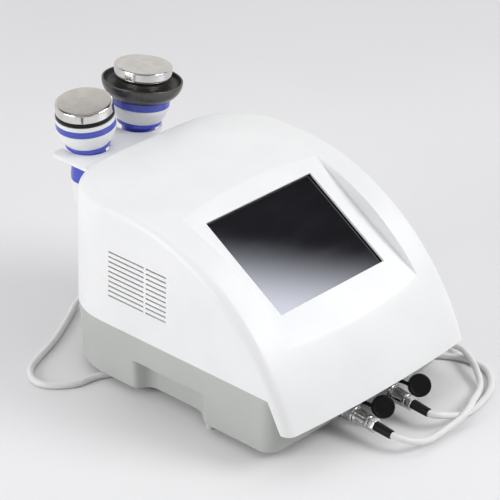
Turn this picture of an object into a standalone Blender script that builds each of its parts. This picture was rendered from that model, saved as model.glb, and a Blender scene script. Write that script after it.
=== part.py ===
"""Cavitation slimming machine: a desk console with two cabled ultrasound handpieces.

The console stands on four bumper feet. A grey base tray with two hand recesses carries a white moulded
case, whose top is an arc that runs from a visor over the connectors up to a crest and back to the rear
wall. A flat panel sunk into the arc holds the screen. A notched shelf on the rear wall carries the
handpieces, whose cables run over and under the console to two circular connectors in the base.

Lengths are in metres and angles in degrees. +Z is up, the front faces -Y, and the table is at zero.
"""
import math

import bmesh
import bpy
import numpy as np
from mathutils import Matrix, Vector

# Clearances and mesh steps
GAP = 0.0003
OVERRUN = 0.006
SHARP_ANGLE = 35
BODY_STEPS = 22
PLUG_STEPS = 16
SMALL_STEPS = 10
CURVE_SAMPLES = 16
MERGE_DISTANCE = 0.000003

# Upper case
CASE_WIDTH = 0.285
CASE_TOP = 0.2128
SEAM_HEIGHT = 0.075
VISOR_BOTTOM = 0.0435
REAR_WALL_Y = 0.2056
CORNER_RADIUS = 0.074
EDGE_FILLET = 0.011
ARC_RADIUS = 0.263
ARC_CREST_Y = 0.1117
REAR_ARC_RADIUS = 0.898
CROWN = 0.006
SKIN = 0.0024
VISOR_REACH = 0.0217
VISOR_STEP = 0.0078
ARC_STEPS = 12
CORNER_STEPS = 5
CROWN_STEPS = 8
FILLET_STEPS = 3

# Sunk screen panel, measured along its own slope
PANEL_SLOPE = 31.9
PANEL_WIDTH = 0.209
PANEL_SINK = 0.0115
WINDOW_WIDTH = 0.1625
WINDOW_LENGTH = 0.124
WINDOW_SHIFT = 0.0086
GASKET_THICK = 0.0006
GASKET_LAP = 0.005
GASKET_LIP = 0.0008
GLASS_THICK = 0.002
LCD_WIDTH = 0.176
LCD_LENGTH = 0.137
LCD_THICK = 0.006
BRACKET_THICK = 0.0012
BRACKET_POST_RADIUS = 0.0035
CONTROL_BOARD_WIDTH = 0.15
CONTROL_BOARD_LENGTH = 0.1
BOARD_THICK = 0.0016
BOARD_SPACER_HEIGHT = 0.005
BOARD_SPACER_RADIUS = 0.003
BUZZER_RADIUS = 0.006
BUZZER_HEIGHT = 0.0085

# Louvres in both side walls
LOUVRE_COUNT = 10
LOUVRE_PITCH = 0.0057
LOUVRE_SLOT = 0.0019
LOUVRE_FRONT_Y = 0.036
LOUVRE_REAR_Y = 0.118
LOUVRE_RIB_Y = 0.066
LOUVRE_RIB = 0.003
LOUVRE_BOTTOM = 0.109

# Base tray
BASE_BOTTOM = 0.008
BASE_FRONT_Y = -0.112
BASE_FRONT_RADIUS = 0.016
BASE_DRAFT = 4.84
BASE_WALL = 0.0025
BASE_FLOOR = 0.0025
BASE_EDGE = 0.0015
LEDGE_THICK = 0.0025
RECESS_TOP = 0.043
RECESS_DEPTH = 0.0225
RECESS_FRONT_Y = -0.015
RECESS_REAR_Y = 0.084
RECESS_FRONT_SLANT = 0.02
RECESS_REAR_SLANT = 0.01
RECESS_RADIUS = 0.009
FOOT_RADIUS = 0.006
FOOT_FRONT_INSET = 0.0155
FOOT_FRONT_Y = -0.016
FOOT_REAR_INSET = 0.0425
FOOT_REAR_Y = 0.165

# Rear shelf for the handpieces
SHELF_TOP = 0.201
SHELF_THICK = 0.0045
SHELF_REAR_REACH = 0.0155
SHELF_LEFT_PRONG = 0.017
SHELF_RIGHT_CUT = 0.0066
SHELF_ROUNDING = 0.007
NOTCH_RADIUS = 0.0234
HOOK_WALL = 0.0026
FLANGE_DROP = 0.031
FLANGE_THICK = 0.003
FLANGE_LEFT_X = -0.055
FLANGE_RIGHT_X = 0.028
GUSSET_THICK = 0.003
GUSSET_REACH = 0.011
SHELF_SCREW_RADIUS = 0.0035

# Handpieces: places and shared sizes
HANDPIECE_X = 0.0396
HANDPIECE_Y = 0.2505
LEAN_A = -6.5
LEAN_B = 5.5
RING_RADIUS = 0.0245
NECK_RADIUS = 0.0186
GRIP_RADIUS = 0.0216
GRIP_LENGTH = 0.04
GRIP_WALL = 0.0027
TAIL_LENGTH = 0.0585
TAIL_END_RADIUS = 0.0115
BOOT_RADIUS = 0.0066
BOOT_TIP_RADIUS = 0.0048
BOOT_LENGTH = 0.027
COLLAR_WALL = 0.0026

# Handpiece A, with the flat steel head
A_RING_HEIGHT = 0.0046
A_COLLAR_HEIGHT = 0.0194
A_COLLAR_RADIUS = 0.0328
A_STRIPE_HEIGHT = 0.0074
A_RIM_HEIGHT = 0.0049
A_SEAL_HEIGHT = 0.0044
A_SEAL_RADIUS = 0.0318
A_HEAD_HEIGHT = 0.0117
A_HEAD_RADIUS = 0.0315
A_HEAD_ROUNDING = 0.003

# Handpiece B, with the dark cup round its horn
B_RING_HEIGHT = 0.004
B_COLLAR_HEIGHT = 0.018
B_COLLAR_RADIUS = 0.032
B_STRIPE_HEIGHT = 0.0085
B_CUP_RADIUS = 0.0444
B_CUP_FOOT_RADIUS = 0.0335
B_CUP_HEIGHT = 0.019
B_CUP_WALL = 0.002
B_CUP_FLOOR = 0.006
B_CUP_BRIM = 0.005
B_HORN_RADIUS = 0.03
B_HORN_BAND_RADIUS = 0.0318
B_HORN_BAND_HEIGHT = 0.0095
B_HORN_RISE = 0.0185
B_HORN_GROOVE = 0.0014

# Ultrasound stack inside each handpiece
STACK_RADIUS = 0.0135
STACK_DISC_RADIUS = 0.0165
STACK_DISC_HEIGHT = 0.006
STACK_BOLT_RADIUS = 0.005
STACK_BOLT_HEIGHT = 0.008

# Circular connectors in the front of the base
SOCKET_X = 0.03
SOCKET_Z = 0.0235
SOCKET_FLANGE_RADIUS = 0.0118
SOCKET_FLANGE_THICK = 0.002
BARREL_RADIUS = 0.0083
BARREL_LENGTH = 0.008
BARREL_NUT_RADIUS = 0.0105
BARREL_NUT_THICK = 0.003
NUT_START = 0.005
NUT_LENGTH = 0.017
NUT_RADIUS = 0.01
NUT_RIDGES = 16
NUT_RIDGE_DEPTH = 0.0007
PLUG_NOSE_RADIUS = 0.0068
PLUG_BODY_LENGTH = 0.019
PLUG_BODY_RADIUS = 0.0088
PLUG_BODY_TIP_RADIUS = 0.0074
PLUG_RIBS = 4
PLUG_RIB_DEPTH = 0.0006
CLAMP_LENGTH = 0.0075
CLAMP_RADIUS = 0.0082
SLEEVE_LENGTH = 0.02
SLEEVE_RADIUS = 0.0049

# Dust caps
CAP_RADIUS = 0.0125
CAP_DEPTH = 0.007
CAP_WALL = 0.0018
CAP_OUT = 0.031
CAP_FORWARD = 0.0325
CAP_FACING_SHARES = (-0.6, 0.5, 0.61)
STRAP_WIDTH = 0.0042
STRAP_THICK = 0.0015
STRAP_RING_WALL = 0.0022
STRAP_RING_WIDTH = 0.0022

# Fan behind the right louvres
FAN_SIZE = 0.08
FAN_DEPTH = 0.025
FAN_BORE_RADIUS = 0.0375
FAN_HUB_RADIUS = 0.016
FAN_BLADES = 7
FAN_BLADE_CLEARANCE = 0.0015
FAN_BLADE_THICK = 0.0014
FAN_SPIDER_THICK = 0.003
FAN_ARM_WIDTH = 0.005

# Power parts on the chassis plate
PLATE_WIDTH = 0.2
PLATE_FRONT_Y = -0.085
PLATE_REAR_Y = 0.165
PLATE_THICK = 0.0015
SUPPLY_WIDTH = 0.058
SUPPLY_LENGTH = 0.105
SUPPLY_HEIGHT = 0.034
SUPPLY_X = -0.062
SUPPLY_Y = 0.105
TRANSFORMER_WIDTH = 0.06
TRANSFORMER_LENGTH = 0.05
TRANSFORMER_HEIGHT = 0.05
TRANSFORMER_COIL_REACH = 0.011
TRANSFORMER_X = 0.035
TRANSFORMER_Y = 0.125
DRIVER_BOARD_WIDTH = 0.16
DRIVER_BOARD_LENGTH = 0.085
DRIVER_BOARD_Y = -0.025
STANDOFF_HEIGHT = 0.008
STANDOFF_RADIUS = 0.003
STANDOFF_EDGE = 0.007
SINK_LENGTH = 0.07
SINK_WIDTH = 0.06
SINK_HEIGHT = 0.025
SINK_BASE = 0.004
SINK_FINS = 8
SINK_FIN_THICK = 0.0018

# Mains inlet and switch in the rear of the base
INLET_X = 0.03
INLET_HEIGHT = 0.036
INLET_WIDTH = 0.031
INLET_LENGTH = 0.042
INLET_FLANGE = 0.0025
INLET_LAP = 0.0022
INLET_DEPTH = 0.024
INLET_MOUTH_WIDTH = 0.024
INLET_MOUTH_LENGTH = 0.0162
INLET_MOUTH_DEPTH = 0.016
INLET_PIN_WIDTH = 0.004
INLET_PIN_THICK = 0.002
INLET_PIN_PITCH = 0.007
DRAWER_WIDTH = 0.021
DRAWER_LENGTH = 0.008
DRAWER_DEPTH = 0.018
SWITCH_X = -0.03
SWITCH_WIDTH = 0.015
SWITCH_LENGTH = 0.0285
SWITCH_DEPTH = 0.016
ROCKER_WIDTH = 0.0098
ROCKER_LENGTH = 0.019
ROCKER_TILT = 11
ROCKER_RISE = 0.0012
ROCKER_PIVOT_DEPTH = 0.002
ROCKER_BODY = 0.006

# Cables: routes over the table, in the console's own frame
CORD_RADIUS = 0.0036
CORD_STEP_DIAMETERS = 2.4
CABLE_A_ROUTE = (
    (0.0325, -0.1865, 0.0178), (0.0400, -0.1905, 0.0160), (0.0510, -0.1920, 0.0115),
    (0.0660, -0.1925, 0.0065), (0.0830, -0.1920, 0.0040), (0.1040, -0.1888, 0.0037),
    (0.1237, -0.1834, 0.0037), (0.1442, -0.1715, 0.0037), (0.1602, -0.1525, 0.0037),
    (0.1640, -0.1345, 0.0037), (0.1610, -0.1180, 0.0037), (0.1530, -0.1020, 0.0037),
    (0.1400, -0.0870, 0.0037), (0.1000, -0.0540, 0.0037), (0.0400, -0.0060, 0.0037),
    (-0.0200, 0.0420, 0.0037), (-0.0800, 0.0900, 0.0037), (-0.1180, 0.1230, 0.0037),
    (-0.1414, 0.1362, 0.0037), (-0.1642, 0.1400, 0.0037), (-0.1805, 0.1493, 0.0037),
    (-0.1920, 0.1634, 0.0037), (-0.1925, 0.1801, 0.0037), (-0.1800, 0.1967, 0.0037),
    (-0.1598, 0.2071, 0.0037), (-0.1226, 0.2215, 0.0037), (-0.0804, 0.2430, 0.0037),
    (-0.0500, 0.2600, 0.0060), (-0.0310, 0.2600, 0.0180), (-0.0230, 0.2540, 0.0380),
)
CABLE_B_ROUTE = (
    (-0.0275, -0.1885, 0.0165), (-0.0210, -0.1950, 0.0140), (-0.0090, -0.1990, 0.0100),
    (0.0050, -0.1995, 0.0070), (0.0200, -0.1990, 0.0062), (0.0360, -0.1992, 0.0075),
    (0.0500, -0.2000, 0.0098), (0.0631, -0.1990, 0.0124), (0.0765, -0.1948, 0.0133),
    (0.0890, -0.1888, 0.0125), (0.1005, -0.1838, 0.0102),
    (0.1190, -0.1745, 0.0062), (0.1301, -0.1669, 0.0065), (0.1374, -0.1593, 0.0085),
    (0.1490, -0.1440, 0.0112), (0.1590, -0.1280, 0.0119),
    (0.1680, -0.1130, 0.0100), (0.1735, -0.0960, 0.0062), (0.1720, -0.0790, 0.0038),
    (0.1650, -0.0550, 0.0037), (0.1610, -0.0250, 0.0037), (0.1640, 0.0200, 0.0037),
    (0.1710, 0.0700, 0.0037), (0.1750, 0.1200, 0.0037), (0.1680, 0.1700, 0.0037),
    (0.1470, 0.2120, 0.0037), (0.1150, 0.2420, 0.0037), (0.0800, 0.2590, 0.0042),
    (0.0500, 0.2640, 0.0110), (0.0320, 0.2590, 0.0240), (0.0260, 0.2530, 0.0430),
)

# Values that follow from the sizes above
HALF_WIDTH = CASE_WIDTH / 2
ARC_CENTRE_Z = CASE_TOP - ARC_RADIUS
CORNER_Y = REAR_WALL_Y - CORNER_RADIUS
CASE_RIM = SEAM_HEIGHT + GAP
DRAFT_SLOPE = math.tan(math.radians(BASE_DRAFT))
PLATE_BOTTOM = BASE_BOTTOM + BASE_FLOOR + GAP
PLATE_TOP = PLATE_BOTTOM + PLATE_THICK
CABLE_Z_LIMIT = CORD_RADIUS * 1.01
X_AXIS = Vector((1, 0, 0))
Y_AXIS = Vector((0, 1, 0))
Z_AXIS = Vector((0, 0, 1))

# Lays a plan on its side: its x and y become Y and Z, and its height runs along X
ALONG_X = Matrix(((0, 0, 1, 0), (1, 0, 0, 0), (0, 1, 0, 0), (0, 0, 0, 1)))


# Materials

def material(name, colour, roughness, metallic=0.0):
    """A Principled BSDF under the given name."""
    made = bpy.data.materials.new(name)
    made.use_nodes = True
    shader = made.node_tree.nodes['Principled BSDF']
    shader.inputs['Base Color'].default_value = (*colour, 1.0)
    shader.inputs['Roughness'].default_value = roughness
    shader.inputs['Metallic'].default_value = metallic
    return made


def make_materials():
    return {
        'white': material('white_abs', (0.83, 0.83, 0.84), 0.38),
        'grey': material('grey_abs', (0.42, 0.42, 0.41), 0.5),
        'blue': material('blue_abs', (0.05, 0.08, 0.55), 0.3),
        'clear': material('clear_rubber', (0.7, 0.71, 0.72), 0.4),
        'black': material('black_rubber', (0.02, 0.02, 0.022), 0.6),
        'screen': material('screen_glass', (0.012, 0.012, 0.015), 0.08),
        'steel': material('satin_steel', (0.56, 0.55, 0.52), 0.35, 1.0),
        'chrome': material('chrome', (0.75, 0.75, 0.76), 0.1, 1.0),
        'gunmetal': material('gunmetal', (0.1, 0.1, 0.11), 0.3, 0.9),
        'nickel': material('satin_nickel', (0.6, 0.6, 0.58), 0.3, 1.0),
        'board': material('board_green', (0.02, 0.17, 0.07), 0.5),
        'sheet': material('zinc_sheet', (0.5, 0.51, 0.52), 0.45, 0.9),
        'copper': material('coil_tape', (0.6, 0.42, 0.08), 0.5),
        'cable': material('white_cable', (0.8, 0.8, 0.79), 0.45),
    }


# Outlines and paths

def arc_points(centre, radius, start, end, steps):
    """Points of a circular arc in the plane, ends included."""
    angles = np.radians(np.linspace(start, end, steps + 1))
    return [(centre[0] + radius * math.cos(a), centre[1] + radius * math.sin(a)) for a in angles]


def round_corners(points, radii, steps):
    """Round each corner of a polygon with its own radius, zero leaving it sharp."""
    outline = []
    for index, corner in enumerate(points):
        here = Vector(corner)
        before = (Vector(points[index - 1]) - here).normalized()
        after = (Vector(points[(index + 1) % len(points)]) - here).normalized()
        if not radii[index]:
            outline.append(corner)
            continue
        half = before.angle(after) / 2
        reach = radii[index] / math.tan(half)
        centre = here + (before + after).normalized() * radii[index] / math.sin(half)
        start = here + before * reach - centre
        end = here + after * reach - centre
        for step in range(steps + 1):
            blend = start.lerp(end, step / steps).normalized() * radii[index]
            outline.append(tuple(centre + blend))
    return outline


def rectangle(width, length, radius=0.0, steps=3, centre=(0, 0)):
    """A rectangle centred on a point, with round corners."""
    x, y = width / 2, length / 2
    corners = [(centre[0] - x, centre[1] - y), (centre[0] + x, centre[1] - y),
               (centre[0] + x, centre[1] + y), (centre[0] - x, centre[1] + y)]
    return round_corners(corners, [radius] * len(corners), steps)


def bezier(start, control, end, steps):
    """Points of a quadratic curve."""
    shares = np.linspace(0, 1, steps + 1)
    return [start * (1 - t) ** 2 + control * (2 * t * (1 - t)) + end * t ** 2 for t in shares]


def smooth_route(route, step):
    """Even points along a smooth curve through a route, whose first and last runs stay straight."""
    knots = [Vector(point) for point in route]
    dense = []
    for a, b, c, d in zip(knots, knots[1:], knots[2:], knots[3:]):
        for t in np.linspace(0, 1, CURVE_SAMPLES, endpoint=False):
            first = b * 2 + (c - a) * t
            second = (a * 2 - b * 5 + c * 4 - d) * t ** 2
            third = (b * 3 - a - c * 3 + d) * t ** 3
            dense.append((first + second + third) / 2)
    dense.append(knots[-2])
    lengths = np.cumsum([0] + [(q - p).length for p, q in zip(dense, dense[1:])])
    count = max(2, round(lengths[-1] / step))
    marks = np.linspace(0, lengths[-1], count + 1)
    columns = np.array([tuple(point) for point in dense]).T
    even = np.stack([np.interp(marks, lengths, column) for column in columns], axis=1)
    return [tuple(knots[0])] + [tuple(point) for point in even] + [tuple(knots[-1])]


# Mesh tools, which each add one closed body to a bmesh

def turned(bm, profile, steps, place=None, ring=False):
    """Spin a (radius, height) profile about the local Z axis; a ring's profile closes on itself."""
    known = set(bm.verts)
    verts = [bm.verts.new((radius, 0, height)) for radius, height in profile]
    ends = verts[1:] + verts[:1] if ring else verts[1:]
    edges = [bm.edges.new(pair) for pair in zip(verts, ends)]
    bmesh.ops.spin(bm, geom=verts + edges, cent=(0, 0, 0), axis=Z_AXIS, angle=math.tau,
                   steps=steps, use_merge=True)
    new = [vert for vert in bm.verts if vert not in known]
    bmesh.ops.remove_doubles(bm, verts=new, dist=MERGE_DISTANCE)
    new = [vert for vert in bm.verts if vert not in known]
    if place is not None:
        bmesh.ops.transform(bm, matrix=place, verts=new)


def lofted(bm, rings, place=None):
    """Bridge rings of equal length and cap the first and the last."""
    place = place or Matrix.Identity(4)
    loops = [[bm.verts.new(place @ Vector(point)) for point in ring] for ring in rings]
    for low, high in zip(loops, loops[1:]):
        for index in range(len(low)):
            after = (index + 1) % len(low)
            bm.faces.new((low[index], low[after], high[after], high[index]))
    bm.faces.new(loops[0][::-1])
    bm.faces.new(loops[-1])


def prism(bm, outline, low, high, place=None):
    """Extrude an outline in the local XY plane from one height to another."""
    lofted(bm, [[(x, y, z) for x, y in outline] for z in (low, high)], place)


def frame(bm, outer, inner, low, high, place=None):
    """Extrude the band between two outlines of equal length."""
    place = place or Matrix.Identity(4)
    rings = [(outer, low), (outer, high), (inner, high), (inner, low)]
    loops = [[bm.verts.new(place @ Vector((x, y, z))) for x, y in outline] for outline, z in rings]
    for first, second in zip(loops, loops[1:] + loops[:1]):
        for index in range(len(first)):
            after = (index + 1) % len(first)
            bm.faces.new((first[index], first[after], second[after], second[index]))


def swept(bm, points, width_axis, width, thick):
    """Carry a rectangle along a path, its long side along width_axis."""
    rings = []
    for index, point in enumerate(points):
        before = points[max(index - 1, 0)]
        after = points[min(index + 1, len(points) - 1)]
        side = width_axis.cross((after - before).normalized()).normalized() * thick / 2
        wide = width_axis * width / 2
        rings.append([point - side - wide, point + side - wide, point + side + wide, point - side + wide])
    lofted(bm, rings)


def disc(bm, radius, low, high, steps=SMALL_STEPS, place=None):
    turned(bm, [(0, low), (radius, low), (radius, high), (0, high)], steps, place)


def at(x=0.0, y=0.0, z=0.0):
    return Matrix.Translation((x, y, z))


# Scene tools

def add(name, bm, finish, parent, smooth=True):
    """Turn a bmesh into a named object under a parent."""
    bmesh.ops.recalc_face_normals(bm, faces=bm.faces)
    mesh = bpy.data.meshes.new(name)
    bm.to_mesh(mesh)
    bm.free()
    if smooth:
        mesh.shade_smooth()
        mesh.set_sharp_from_angle(angle=math.radians(SHARP_ANGLE))
    if finish:
        mesh.materials.append(finish)
    made = bpy.data.objects.new(name, mesh)
    bpy.context.scene.collection.objects.link(made)
    made.parent = parent
    return made


def cutter(name, bm, parent):
    """A helper solid that only shapes other pieces."""
    made = add(name, bm, None, parent, smooth=False)
    made.hide_render = True
    made.display_type = 'WIRE'
    return made


def combine(target, tool, operation='DIFFERENCE'):
    """Give an object a Boolean modifier."""
    step = target.modifiers.new(tool.name, 'BOOLEAN')
    step.operation = operation
    step.solver = 'EXACT'
    step.object = tool
    return target


def empty(name, parent, place):
    made = bpy.data.objects.new(name, None)
    bpy.context.scene.collection.objects.link(made)
    made.parent = parent
    made.matrix_basis = place
    return made


# Case skin

def skin_point(x, y, inset):
    """A point of the top behind the crest: a flat arc, crowned across the width."""
    crown = CROWN * (1 - (x / HALF_WIDTH) ** 2)
    radius = REAR_ARC_RADIUS - inset
    drop = radius - math.sqrt(radius ** 2 - (y - ARC_CREST_Y) ** 2)
    return Vector((x, y, CASE_TOP + crown - inset - drop))


def front_point(x, angle, inset):
    """A point of the front arc at an angle above the horizontal."""
    radius = ARC_RADIUS + CROWN * (1 - (x / HALF_WIDTH) ** 2) - inset
    return Vector((x, ARC_CREST_Y - radius * math.cos(angle), ARC_CENTRE_Z + radius * math.sin(angle)))


def edge_round(top, wall_normal, top_normal, radius):
    """The rolling-ball fillet between a wall and the top, from the wall to the top."""
    centre = top - (wall_normal + top_normal) * radius / (1 + wall_normal.dot(top_normal))
    turn = wall_normal.angle(top_normal)
    points = []
    for step in range(FILLET_STEPS + 1):
        share = step / FILLET_STEPS
        blend = wall_normal * math.sin((1 - share) * turn) + top_normal * math.sin(share * turn)
        points.append(centre + blend * radius / math.sin(turn))
    return points


def skin_stations(inset, low):
    """The edge line of the case from the left front round the rear: point, wall and top normals."""
    half = HALF_WIDTH - inset
    corner = CORNER_RADIUS - inset
    tilt = 2 * CROWN * half / HALF_WIDTH ** 2
    start = math.asin((low - ARC_CENTRE_Z) / (ARC_RADIUS - inset))
    side = []
    for angle in np.linspace(start, math.pi / 2, ARC_STEPS + 1):
        normal = Vector((-tilt, -math.cos(angle), math.sin(angle))).normalized()
        side.append((front_point(-half, angle, inset), Vector((-1, 0, 0)), normal))
    for angle in np.linspace(0, math.pi / 2, CORNER_STEPS + 1):
        x = corner - half - corner * math.cos(angle)
        y = CORNER_Y + corner * math.sin(angle)
        slope = (y - ARC_CREST_Y) / (REAR_ARC_RADIUS - inset)
        normal = Vector((2 * CROWN * x / HALF_WIDTH ** 2, slope, 1)).normalized()
        side.append((skin_point(x, y, inset), Vector((-math.cos(angle), math.sin(angle), 0)), normal))
    rear = []
    for share in np.linspace(-1, 1, CROWN_STEPS + 1)[1:-1]:
        x = share * (half - corner)
        y = REAR_WALL_Y - inset
        slope = (y - ARC_CREST_Y) / (REAR_ARC_RADIUS - inset)
        normal = Vector((2 * CROWN * x / HALF_WIDTH ** 2, slope, 1)).normalized()
        rear.append((skin_point(x, y, inset), Vector((0, 1, 0)), normal))
    return side, rear


def case_solid(bm, inset, bottom):
    """The outer form of the case moved inwards by inset, closed by a flat bottom."""
    low = bottom + EDGE_FILLET * 2
    side, rear = skin_stations(inset, low)
    flip = Matrix.Diagonal((-1, 1, 1))
    left = [edge_round(*station, EDGE_FILLET - inset) for station in side]
    right = [[flip @ point for point in points] for points in left]
    back = [edge_round(*station, EDGE_FILLET - inset) for station in rear]
    start = math.asin((low - ARC_CENTRE_Z) / (ARC_RADIUS - inset))
    angles = list(np.linspace(start, math.pi / 2, ARC_STEPS + 1))

    def vert(point):
        return bm.verts.new(point)

    chain = [[vert(p) for p in points] for points in left + back + right[::-1]]
    rows = len(left)
    grid = []
    for row in range(rows - 1):
        edge = left[row][-1]
        line = [chain[row][-1]]
        for share in np.linspace(-1, 1, CROWN_STEPS + 1)[1:-1]:
            x = -share * edge.x
            if row < len(angles):
                line.append(vert(front_point(x, angles[row], inset)))
            else:
                line.append(vert(skin_point(x, edge.y, inset)))
        line.append(chain[len(chain) - 1 - row][-1])
        grid.append(line)
    last = [chain[rows - 1 + column][-1] for column in range(CROWN_STEPS + 1)]
    grid.append(last)
    for near, far in zip(grid, grid[1:]):
        for column in range(CROWN_STEPS):
            bm.faces.new((near[column], near[column + 1], far[column + 1], far[column]))
    floor = []
    for points in chain:
        floor.append(vert((points[0].co.x, points[0].co.y, bottom)))
    for index in range(len(chain) - 1):
        here, there = chain[index], chain[index + 1]
        bm.faces.new((floor[index], floor[index + 1], there[0], here[0]))
        for step in range(FILLET_STEPS):
            bm.faces.new((here[step], there[step], there[step + 1], here[step + 1]))
    front_line = chain[-1][1:] + grid[0][1:-1][::-1] + chain[0][::-1][:-1]
    front_floor = [vert((v.co.x, v.co.y, bottom)) for v in front_line]
    upper = [chain[-1][0]] + front_line + [chain[0][0]]
    lower = [floor[-1]] + front_floor + [floor[0]]
    for index in range(len(upper) - 1):
        bm.faces.new((lower[index], lower[index + 1], upper[index + 1], upper[index]))
    bm.faces.new(floor[:-1] + lower[:-1])


def rim_profile():
    """Side view of what is cut away below the case: the seam, then the visor's underside."""
    visor_front = front_point(HALF_WIDTH, math.asin((VISOR_BOTTOM - ARC_CENTRE_Z) / ARC_RADIUS), 0).y
    root = visor_front + VISOR_REACH + VISOR_STEP
    heel = visor_front + VISOR_REACH - VISOR_STEP
    toe = visor_front + VISOR_STEP
    bottom = BASE_BOTTOM - EDGE_FILLET * 2
    far = ARC_RADIUS * 2
    return [(-far, bottom), (far, bottom), (far, CASE_RIM), (root, CASE_RIM),
            (heel, VISOR_BOTTOM + VISOR_STEP * 0.6), (heel - VISOR_STEP / 2, VISOR_BOTTOM + SKIN / 4),
            (toe, VISOR_BOTTOM), (-far, VISOR_BOTTOM)]


def louvre_slots(bm):
    """Two columns of slots through both side walls."""
    columns = ((LOUVRE_FRONT_Y, LOUVRE_RIB_Y - LOUVRE_RIB / 2),
               (LOUVRE_RIB_Y + LOUVRE_RIB / 2, LOUVRE_REAR_Y))
    reach = SKIN + OVERRUN
    for side in (-1, 1):
        for row in range(LOUVRE_COUNT):
            height = LOUVRE_BOTTOM + row * LOUVRE_PITCH
            for front, rear in columns:
                slot = rectangle(reach * 2, rear - front, centre=(side * HALF_WIDTH, (front + rear) / 2))
                prism(bm, slot, height, height + LOUVRE_SLOT)


def make_upper_case(root, panel, finish):
    bottom = BASE_BOTTOM - EDGE_FILLET
    bm = bmesh.new()
    case_solid(bm, 0, bottom)
    case = add('upper_case', bm, finish['white'], root)

    bm = bmesh.new()
    pocket_length = ARC_RADIUS * 2
    prism(bm, rectangle(PANEL_WIDTH, pocket_length), 0, EDGE_FILLET * 4)
    pocket = cutter('cut_pocket', bm, panel)

    bm = bmesh.new()
    wide = rectangle(PANEL_WIDTH + SKIN * 2, pocket_length)
    prism(bm, wide, -SKIN, EDGE_FILLET * 4)
    pocket_wall = cutter('cut_pocket_wall', bm, panel)

    bm = bmesh.new()
    case_solid(bm, SKIN, bottom - OVERRUN)
    cavity = cutter('cut_cavity', bm, root)
    combine(cavity, pocket_wall)

    bm = bmesh.new()
    prism(bm, rim_profile(), -CASE_WIDTH, CASE_WIDTH, ALONG_X)
    rim = cutter('cut_rim', bm, root)

    bm = bmesh.new()
    window = rectangle(WINDOW_WIDTH, WINDOW_LENGTH, centre=(0, WINDOW_SHIFT))
    prism(bm, window, -SKIN - OVERRUN, OVERRUN)
    window_cut = cutter('cut_window', bm, panel)

    bm = bmesh.new()
    louvre_slots(bm)
    slots = cutter('cut_louvres', bm, root)

    for tool in (pocket, cavity, rim, window_cut, slots):
        combine(case, tool)


# Screen and what is behind it

def make_screen(panel, finish):
    """The stack under the window, from the gasket down to the control board."""
    centre = (0, WINDOW_SHIFT)
    glass_width = WINDOW_WIDTH + GASKET_LAP * 2
    glass_length = WINDOW_LENGTH + GASKET_LAP * 2
    gasket_top = -SKIN - GAP
    glass_top = gasket_top - GASKET_THICK - GAP
    lcd_top = glass_top - GLASS_THICK - GAP
    bracket_top = lcd_top - LCD_THICK - GAP
    board_top = bracket_top - BRACKET_THICK - BOARD_SPACER_HEIGHT - GAP

    bm = bmesh.new()
    outer = rectangle(glass_width, glass_length, centre=centre)
    inner = rectangle(WINDOW_WIDTH + GASKET_LIP * 2, WINDOW_LENGTH + GASKET_LIP * 2, centre=centre)
    frame(bm, outer, inner, gasket_top - GASKET_THICK, gasket_top)
    add('screen_gasket', bm, finish['black'], panel, smooth=False)

    bm = bmesh.new()
    prism(bm, rectangle(glass_width, glass_length, centre=centre), glass_top - GLASS_THICK, glass_top)
    add('screen_glass', bm, finish['screen'], panel, smooth=False)

    bm = bmesh.new()
    prism(bm, rectangle(LCD_WIDTH, LCD_LENGTH, centre=centre), lcd_top - LCD_THICK, lcd_top)
    add('lcd_module', bm, finish['sheet'], panel, smooth=False)

    post_x = LCD_WIDTH / 2 + BRACKET_POST_RADIUS * 2
    post_y = LCD_LENGTH / 2 - BRACKET_POST_RADIUS * 2
    margin = BRACKET_POST_RADIUS * 2
    bm = bmesh.new()
    plate = rectangle(post_x * 2 + margin * 2, LCD_LENGTH, margin / 2, centre=centre)
    prism(bm, plate, bracket_top - BRACKET_THICK, bracket_top)
    bracket = add('lcd_bracket', bm, finish['sheet'], panel, smooth=False)
    bm = bmesh.new()
    for x in (-post_x, post_x):
        for y in (-post_y, post_y):
            disc(bm, BRACKET_POST_RADIUS, bracket_top - BRACKET_THICK / 2, gasket_top, SMALL_STEPS,
                 at(x, y + WINDOW_SHIFT))
    for x in (-1, 1):
        for y in (-1, 1):
            spot = at(x * (CONTROL_BOARD_WIDTH / 2 - BOARD_SPACER_RADIUS * 2),
                      y * (CONTROL_BOARD_LENGTH / 2 - BOARD_SPACER_RADIUS * 2) + WINDOW_SHIFT)
            disc(bm, BOARD_SPACER_RADIUS, board_top + GAP, bracket_top - BRACKET_THICK / 2, SMALL_STEPS, spot)
    combine(bracket, cutter('join_bracket_posts', bm, panel), 'UNION')

    bm = bmesh.new()
    board = rectangle(CONTROL_BOARD_WIDTH, CONTROL_BOARD_LENGTH, centre=centre)
    prism(bm, board, board_top - BOARD_THICK, board_top)
    add('control_board', bm, finish['board'], panel, smooth=False)

    bm = bmesh.new()
    buzzer_top = board_top - BOARD_THICK - GAP
    corner = at(CONTROL_BOARD_WIDTH / 2 - BUZZER_RADIUS * 3, WINDOW_SHIFT - CONTROL_BOARD_LENGTH / 4)
    disc(bm, BUZZER_RADIUS, buzzer_top - BUZZER_HEIGHT, buzzer_top, PLUG_STEPS, corner)
    add('buzzer', bm, finish['black'], panel)


# Base tray

def base_inset(height):
    """How far the drafted wall stands in from the case at a height."""
    return GAP + (SEAM_HEIGHT - height) * DRAFT_SLOPE


def base_outline(inset):
    """Plan of the tray: small radii in front, the case's own corners at the rear."""
    x = HALF_WIDTH - inset
    front = BASE_FRONT_Y + inset
    rear = REAR_WALL_Y - inset
    small = BASE_FRONT_RADIUS
    large = CORNER_RADIUS - inset
    return (arc_points((small - x, front + small), small, 180, 270, 3)
            + arc_points((x - small, front + small), small, 270, 360, 3)
            + arc_points((x - large, rear - large), large, 0, 90, CORNER_STEPS)
            + arc_points((large - x, rear - large), large, 90, 180, CORNER_STEPS))


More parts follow.
